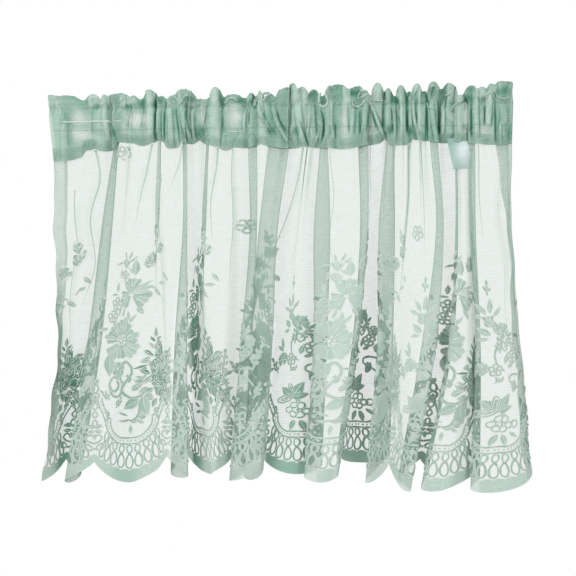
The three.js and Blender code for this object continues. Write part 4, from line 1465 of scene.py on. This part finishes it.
def heading_place(flat, along):
    """A place on the heading, by the share of the way round from the front foot to the back one."""
    rows = 2.0 * (POCKET_ROWS + RUFFLE_ROWS)
    row = np.where(along <= 0.5, along, 1 - along) * rows
    ply = np.where(along <= 0.5, -1.0, 1.0)
    in_pocket = row <= POCKET_ROWS
    low = pocket_place(flat, np.clip(row / POCKET_ROWS, 0, 1), ply)
    high = ruffle_place(flat, np.clip((row - POCKET_ROWS) / RUFFLE_ROWS, 0, 1), ply)
    return np.where(in_pocket[:, None], low, high)


def wrinkle_light(x, z):
    """Painted fine wrinkles that come and go: each a painted highlight crest beside a thin painted
    shadow line.
    """
    light = np.zeros_like(x)
    for period, slant, far, much in ((3.1, 0.05, 17, 0.2), (2.2, -0.09, 29, 0.16)):
        phase = x / period + slant * z + 1.5 * np.sin(z / 9 + x / far)
        phase = phase + 1.1 * np.sin(x / (0.37 * far) - z / 21)
        here = np.clip(0.3 + np.sin(x / (0.6 * far) + z / 13 + far), 0, 1)
        crest = (1 - np.abs(np.sin(phase))) ** 3
        dark = (1 - np.abs(np.sin(phase + 0.5))) ** 3
        light += much * here * (crest - 1.4 * dark)
    return light


def bunching(x, z, flat):
    """How many plies' worth of yarn the bunched cloth holds."""
    folds = 0.5 + 0.5 * np.sin(flat / 2.3 + 2 * np.sin(flat / 17))
    full = 1 - np.clip(1.15 * spots_at(x, z, CLEAR_PLACES), 0, 0.93)
    plies = 0.45 + full * (1.5 + 0.9 * folds) * np.where(z > 0, 0.85, 1.0)
    at_edge = np.minimum(flat, FLAT_WIDTH - flat) < SIDE_HEM
    first, last, height, half = PULLED
    pulled = np.exp(-((z - height) / half) ** 2) * (x > first) * (x < last)
    return (plies + 0.7 * at_edge) * (1 - 0.7 * pulled)


HEADING_COLUMNS = 1400
WIDE_REACH, CLOSE_REACH = 34, 5  # how many columns a fold's and a crease's painted shadow reach
DARKEST_FOLD, LIGHTEST_FOLD = 0.36, 1.45  # painted light on the heading at the least and at the most
BACK_LIGHT = 0.85  # painted shade: the light painted on its window side
HEADING_LEAST_SLANT = 0.35  # past this slant its net looks no closer


def depth_within(y, reach):
    """How far each place of a gridded cloth lies behind the cloth beside it."""
    wide = np.pad(y, ((0, 0), (reach, reach)), mode="edge")
    return y - np.array([np.convolve(row, hill(reach), mode="valid") for row in wide])


def lit(places, rows):
    """Painted light and shade on a gridded part of the heading: by the depth of its folds, and on its
    ridges.
    """
    y = places[:, 1].reshape(rows, -1)
    by_depth = 1.0 - 0.05 * depth_within(y, WIDE_REACH) - 0.05 * depth_within(y, CLOSE_REACH)
    by_depth = np.clip(by_depth, 0.45, 1.15)
    x, z = places[:, 0], places[:, 2]
    light = by_depth.ravel() + ridge_light(x, z) + wrinkle_light(x, z)
    return np.clip(light, DARKEST_FOLD, LIGHTEST_FOLD)


def heading():
    rows = 2 * (POCKET_ROWS + RUFFLE_ROWS)
    piece, across, along = gridded("heading_cloth", HEADING_COLUMNS, rows, heading_net)
    flat = across * FLAT_WIDTH
    places = heading_place(flat, along)
    put(piece.data, places)
    mesh = piece.data
    normals = np.empty(len(mesh.vertices) * 3)
    mesh.vertices.foreach_get("normal", normals)
    slant = np.clip(np.abs(normals.reshape(-1, 3)[:, 1]), HEADING_LEAST_SLANT, 1)
    light = lit(places, rows + 1)
    behind = depth_within(places[:, 1].reshape(rows + 1, -1), WIDE_REACH).ravel()
    closer = 1 + 0.9 * np.clip(1 - light, 0, 1) + 0.8 * np.clip(behind / 4, 0, 1)
    thick = closer * bunching(places[:, 0], places[:, 2], flat) / slant
    # The window side is painted darker, as painted shade; the 'shade' value carries the painted light
    light = np.where(along > 0.5, BACK_LIGHT, 1.0) * light
    return laid(piece, places, flat, along * HEADING_FLAT, thick=thick, shade=light)


def pocket_hem():
    """The hem turned in at the foot of the pocket's room side."""
    piece, across, up = gridded("pocket_hem", HEADING_COLUMNS, 4, heading_net)
    flat = across * FLAT_WIDTH
    places = pocket_place(flat, up * POCKET_HEM / POCKET_HIGH, np.full_like(flat, -1))
    places[:, 1] += 0.7
    # The turned hem carries the painted light of its folds, painted darker still as painted shade
    return laid(piece, places, flat, up * POCKET_HEM, thick=2.6, shade=0.78 * lit(places, 5))


NEAREST = 30  # points of the heading's cloth that a pale line stays in front of


def pale_lines(head):
    """The ruffle's curled edges as pale painted highlights, each over a darker painted shadow line, and
    the drawn threads, laid over the heading's room side.
    """
    bm = new_lace()
    for width, points in CURLED_EDGES:
        # A painted shadow line: a darker strip just below and to the right of each curled edge
        under = [(x + 1.0, z - 1.5) for x, z in points]
        bare_ribbon(bm, through(under), 1.1 * width, 8 * len(points), 1.7, 0)
        bare_ribbon(bm, through(points), width, 8 * len(points), 0.5, 0.3)
    for width, points in DRAWN_THREADS:
        bare_ribbon(bm, through(points), width, 8 * len(points), 0.05, 0.3)
    piece = piece_from(bm, "curled_edge_highlights", dense)
    flat, z, over = coordinates(piece.data).T.copy()
    cloth = coordinates(head.data) / MM
    y = np.empty_like(z)
    for k, (a, b) in enumerate(zip(flat, z)):
        apart = np.hypot(cloth[:, 0] - a, cloth[:, 2] - b)
        y[k] = cloth[np.argpartition(apart, NEAREST)[:NEAREST], 1].min() - 0.3 - over[k]
    return laid(piece, np.stack([flat, y, z], axis=1), flat, z, shade=1.0)


FOOT_ROW = -34.0  # height of the lower row of stitches; the upper one is at 0
STITCH_STEP, STITCH_LONG, STITCH_TALL = 3.2, 2.2, 0.7


def stitches(name, z):
    """A row of stitches along the pocket's room side at one height."""
    bm = bmesh.new()
    for k in range(int(FLAT_WIDTH / STITCH_STEP) - 2):
        grid = bmesh.ops.create_grid(bm, x_segments=1, y_segments=1, size=0.5)["verts"]
        bmesh.ops.scale(bm, vec=(STITCH_LONG, STITCH_TALL, 1), verts=grid)
        bmesh.ops.translate(bm, vec=((k + 1.5) * STITCH_STEP, 0, 0), verts=grid)
    piece = piece_from(bm, name, dense)
    flat, h, _ = coordinates(piece.data).T.copy()
    foot = scooped(folded(flat, np.zeros_like(flat))[0])
    places = pocket_place(flat, 1 - z / foot, -np.ones_like(flat))
    places[:, 1] -= 0.6
    places[:, 2] += h
    return laid(piece, places, flat, h, tone=1.0, shade=0.72)


# ---------------------------------------------------------------- the label
LABEL = {"x": 258.0, "wide": 30.0, "top": -46.0, "foot": -98.0, "lean": 0.2, "out": 9.0, "turn": 0.4}


def label():
    """A blank satin tab, sewn in under the pocket's foot, hanging and turning over the skirt."""
    piece, across, up = gridded("label", 12, 24, satin)
    across, down = across - 0.5, 1 - up
    z = LABEL["top"] + (LABEL["foot"] - LABEL["top"]) * down + 3.0 * across * down
    out = smooth(np.clip((-52 - z) / 16, 0, 1))
    turn = LABEL["turn"] * smooth(np.clip(down * 1.2 - 0.2, 0, 1))
    y = -1.6 - LABEL["out"] * out + LABEL["wide"] * across * np.sin(turn)
    y = y - 1.5 * out * np.cos(3.2 * across + 1.5 * down)
    x = LABEL["x"] + LABEL["wide"] * across * np.cos(turn) + LABEL["lean"] * (LABEL["top"] - z)
    # A painted highlight: the satin painted pale in a soft patch right of its middle
    gleam = np.exp(-((across - 0.3 + 0.2 * down) / 0.34) ** 2 - ((down - 0.42) / 0.5) ** 2)
    return laid(piece, np.stack([x, y, z], axis=1), across * LABEL["wide"], z, gleam=gleam)


cloth = skirt()
left_hem = side_hem("left_side_hem", 0.0, SIDE_HEM)
right_hem = side_hem("right_side_hem", FLAT_WIDTH - SIDE_HEM, FLAT_WIDTH)
tucked = tucks()
hem_lace = laid_on(copied(border, scallop_middles()), "border_lace")
blooms_a = laid_on(copied(bouquet_a, scallop_middles(0, 2)), "bouquets_full")
blooms_b = laid_on(copied(bouquet_b, scallop_middles(1, 2)), "bouquets_slender")
daisies = laid_on(copied(loose_daisies, [0.0]), "daisies")
head = heading()
turned = pocket_hem()
curls = pale_lines(head)
header_stitches = stitches("header_stitches", 0.0)
foot_stitches = stitches("foot_stitches", FOOT_ROW)
tab = label()

ON_SKIRT = [left_hem, right_hem, tucked, hem_lace, blooms_a, blooms_b, daisies]
ON_HEADING = [turned, curls, header_stitches, foot_stitches]
for piece in [cloth, *ON_SKIRT]:
    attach(piece, "root")
for piece in [head, *ON_HEADING]:
    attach(piece, "root")
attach(tab, "root")
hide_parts("lace_panel")
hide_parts("heading")
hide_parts("label_tab")


# ---------------------------------------------------------------- camera, light, floor
WHITE = (1, 1, 1, 1)
CAMERA_TURN = math.radians(7.4)
CAMERA_FAR = 2.5
CAMERA_AIM = (0.007, 0.0, -0.2736)
CAMERA_LENS = 104.1875


def camera():
    """Looking level at the cloth, a little from the right."""
    data = bpy.data.cameras.new("camera")
    data.sensor_width = 36.0
    data.lens = CAMERA_LENS
    x, y, z = CAMERA_AIM
    x, y = x + CAMERA_FAR * math.sin(CAMERA_TURN), y - CAMERA_FAR * math.cos(CAMERA_TURN)
    eye = placed("camera", data, (x, y, z))
    eye.rotation_euler = (math.pi / 2, 0, CAMERA_TURN)
    bpy.context.scene.camera = eye


def softbox(name, place, aim, size, power):
    data = bpy.data.lights.new(name, "AREA")
    data.shape = "RECTANGLE"
    data.size, data.size_y = size
    data.energy = power
    lamp = placed(name, data, place)
    lamp.rotation_euler = (Vector(aim) - Vector(place)).to_track_quat("-Z", "Y").to_euler()


def surroundings(strength):
    """A plain white setting behind the cloth, and a soft even light from it."""
    world = bpy.data.worlds.new("setting")
    bpy.context.scene.world = world
    world.use_nodes = True
    tree = world.node_tree
    soft = tree.nodes["Background"]
    soft.inputs["Color"].default_value = WHITE
    soft.inputs["Strength"].default_value = strength
    seen = add_node(tree, "ShaderNodeBackground", {"Color": WHITE, "Strength": 1.0})
    rays = add_node(tree, "ShaderNodeLightPath").outputs
    seen_by = rays["Is Camera Ray"]
    for ray in ("Is Glossy Ray", "Is Transmission Ray"):
        either = {0: seen_by, 1: rays[ray]}
        seen_by = add_node(tree, "ShaderNodeMath", either, operation="MAXIMUM").outputs[0]
    both = {0: seen_by, 1: soft.outputs[0], 2: seen.outputs[0]}
    mixed = add_node(tree, "ShaderNodeMixShader", both).outputs[0]
    tree.links.new(mixed, tree.nodes["World Output"].inputs[0])


def floor():
    bm = bmesh.new()
    bmesh.ops.create_circle(bm, cap_ends=True, segments=64, radius=1.1)
    bmesh.ops.translate(bm, vec=(0, -0.45, -0.9), verts=bm.verts)
    finish = Finish("pale_floor", 0.9)
    finish.shader.inputs["Base Color"].default_value = (0.82, 0.82, 0.81, 1)
    piece_from(bm, "floor", finish.material)


camera()
surroundings(0.5)
softbox("key", (-1.15, -1.75, 1.1), (0, 0, -0.25), (1.2, 1.2), 26)
softbox("fill", (1.4, -1.9, 0.4), (0, 0, -0.25), (1.0, 1.4), 14)
floor()
bpy.context.scene.cycles.transparent_max_bounces = 64
bpy.context.scene.view_settings.view_transform = "Standard"
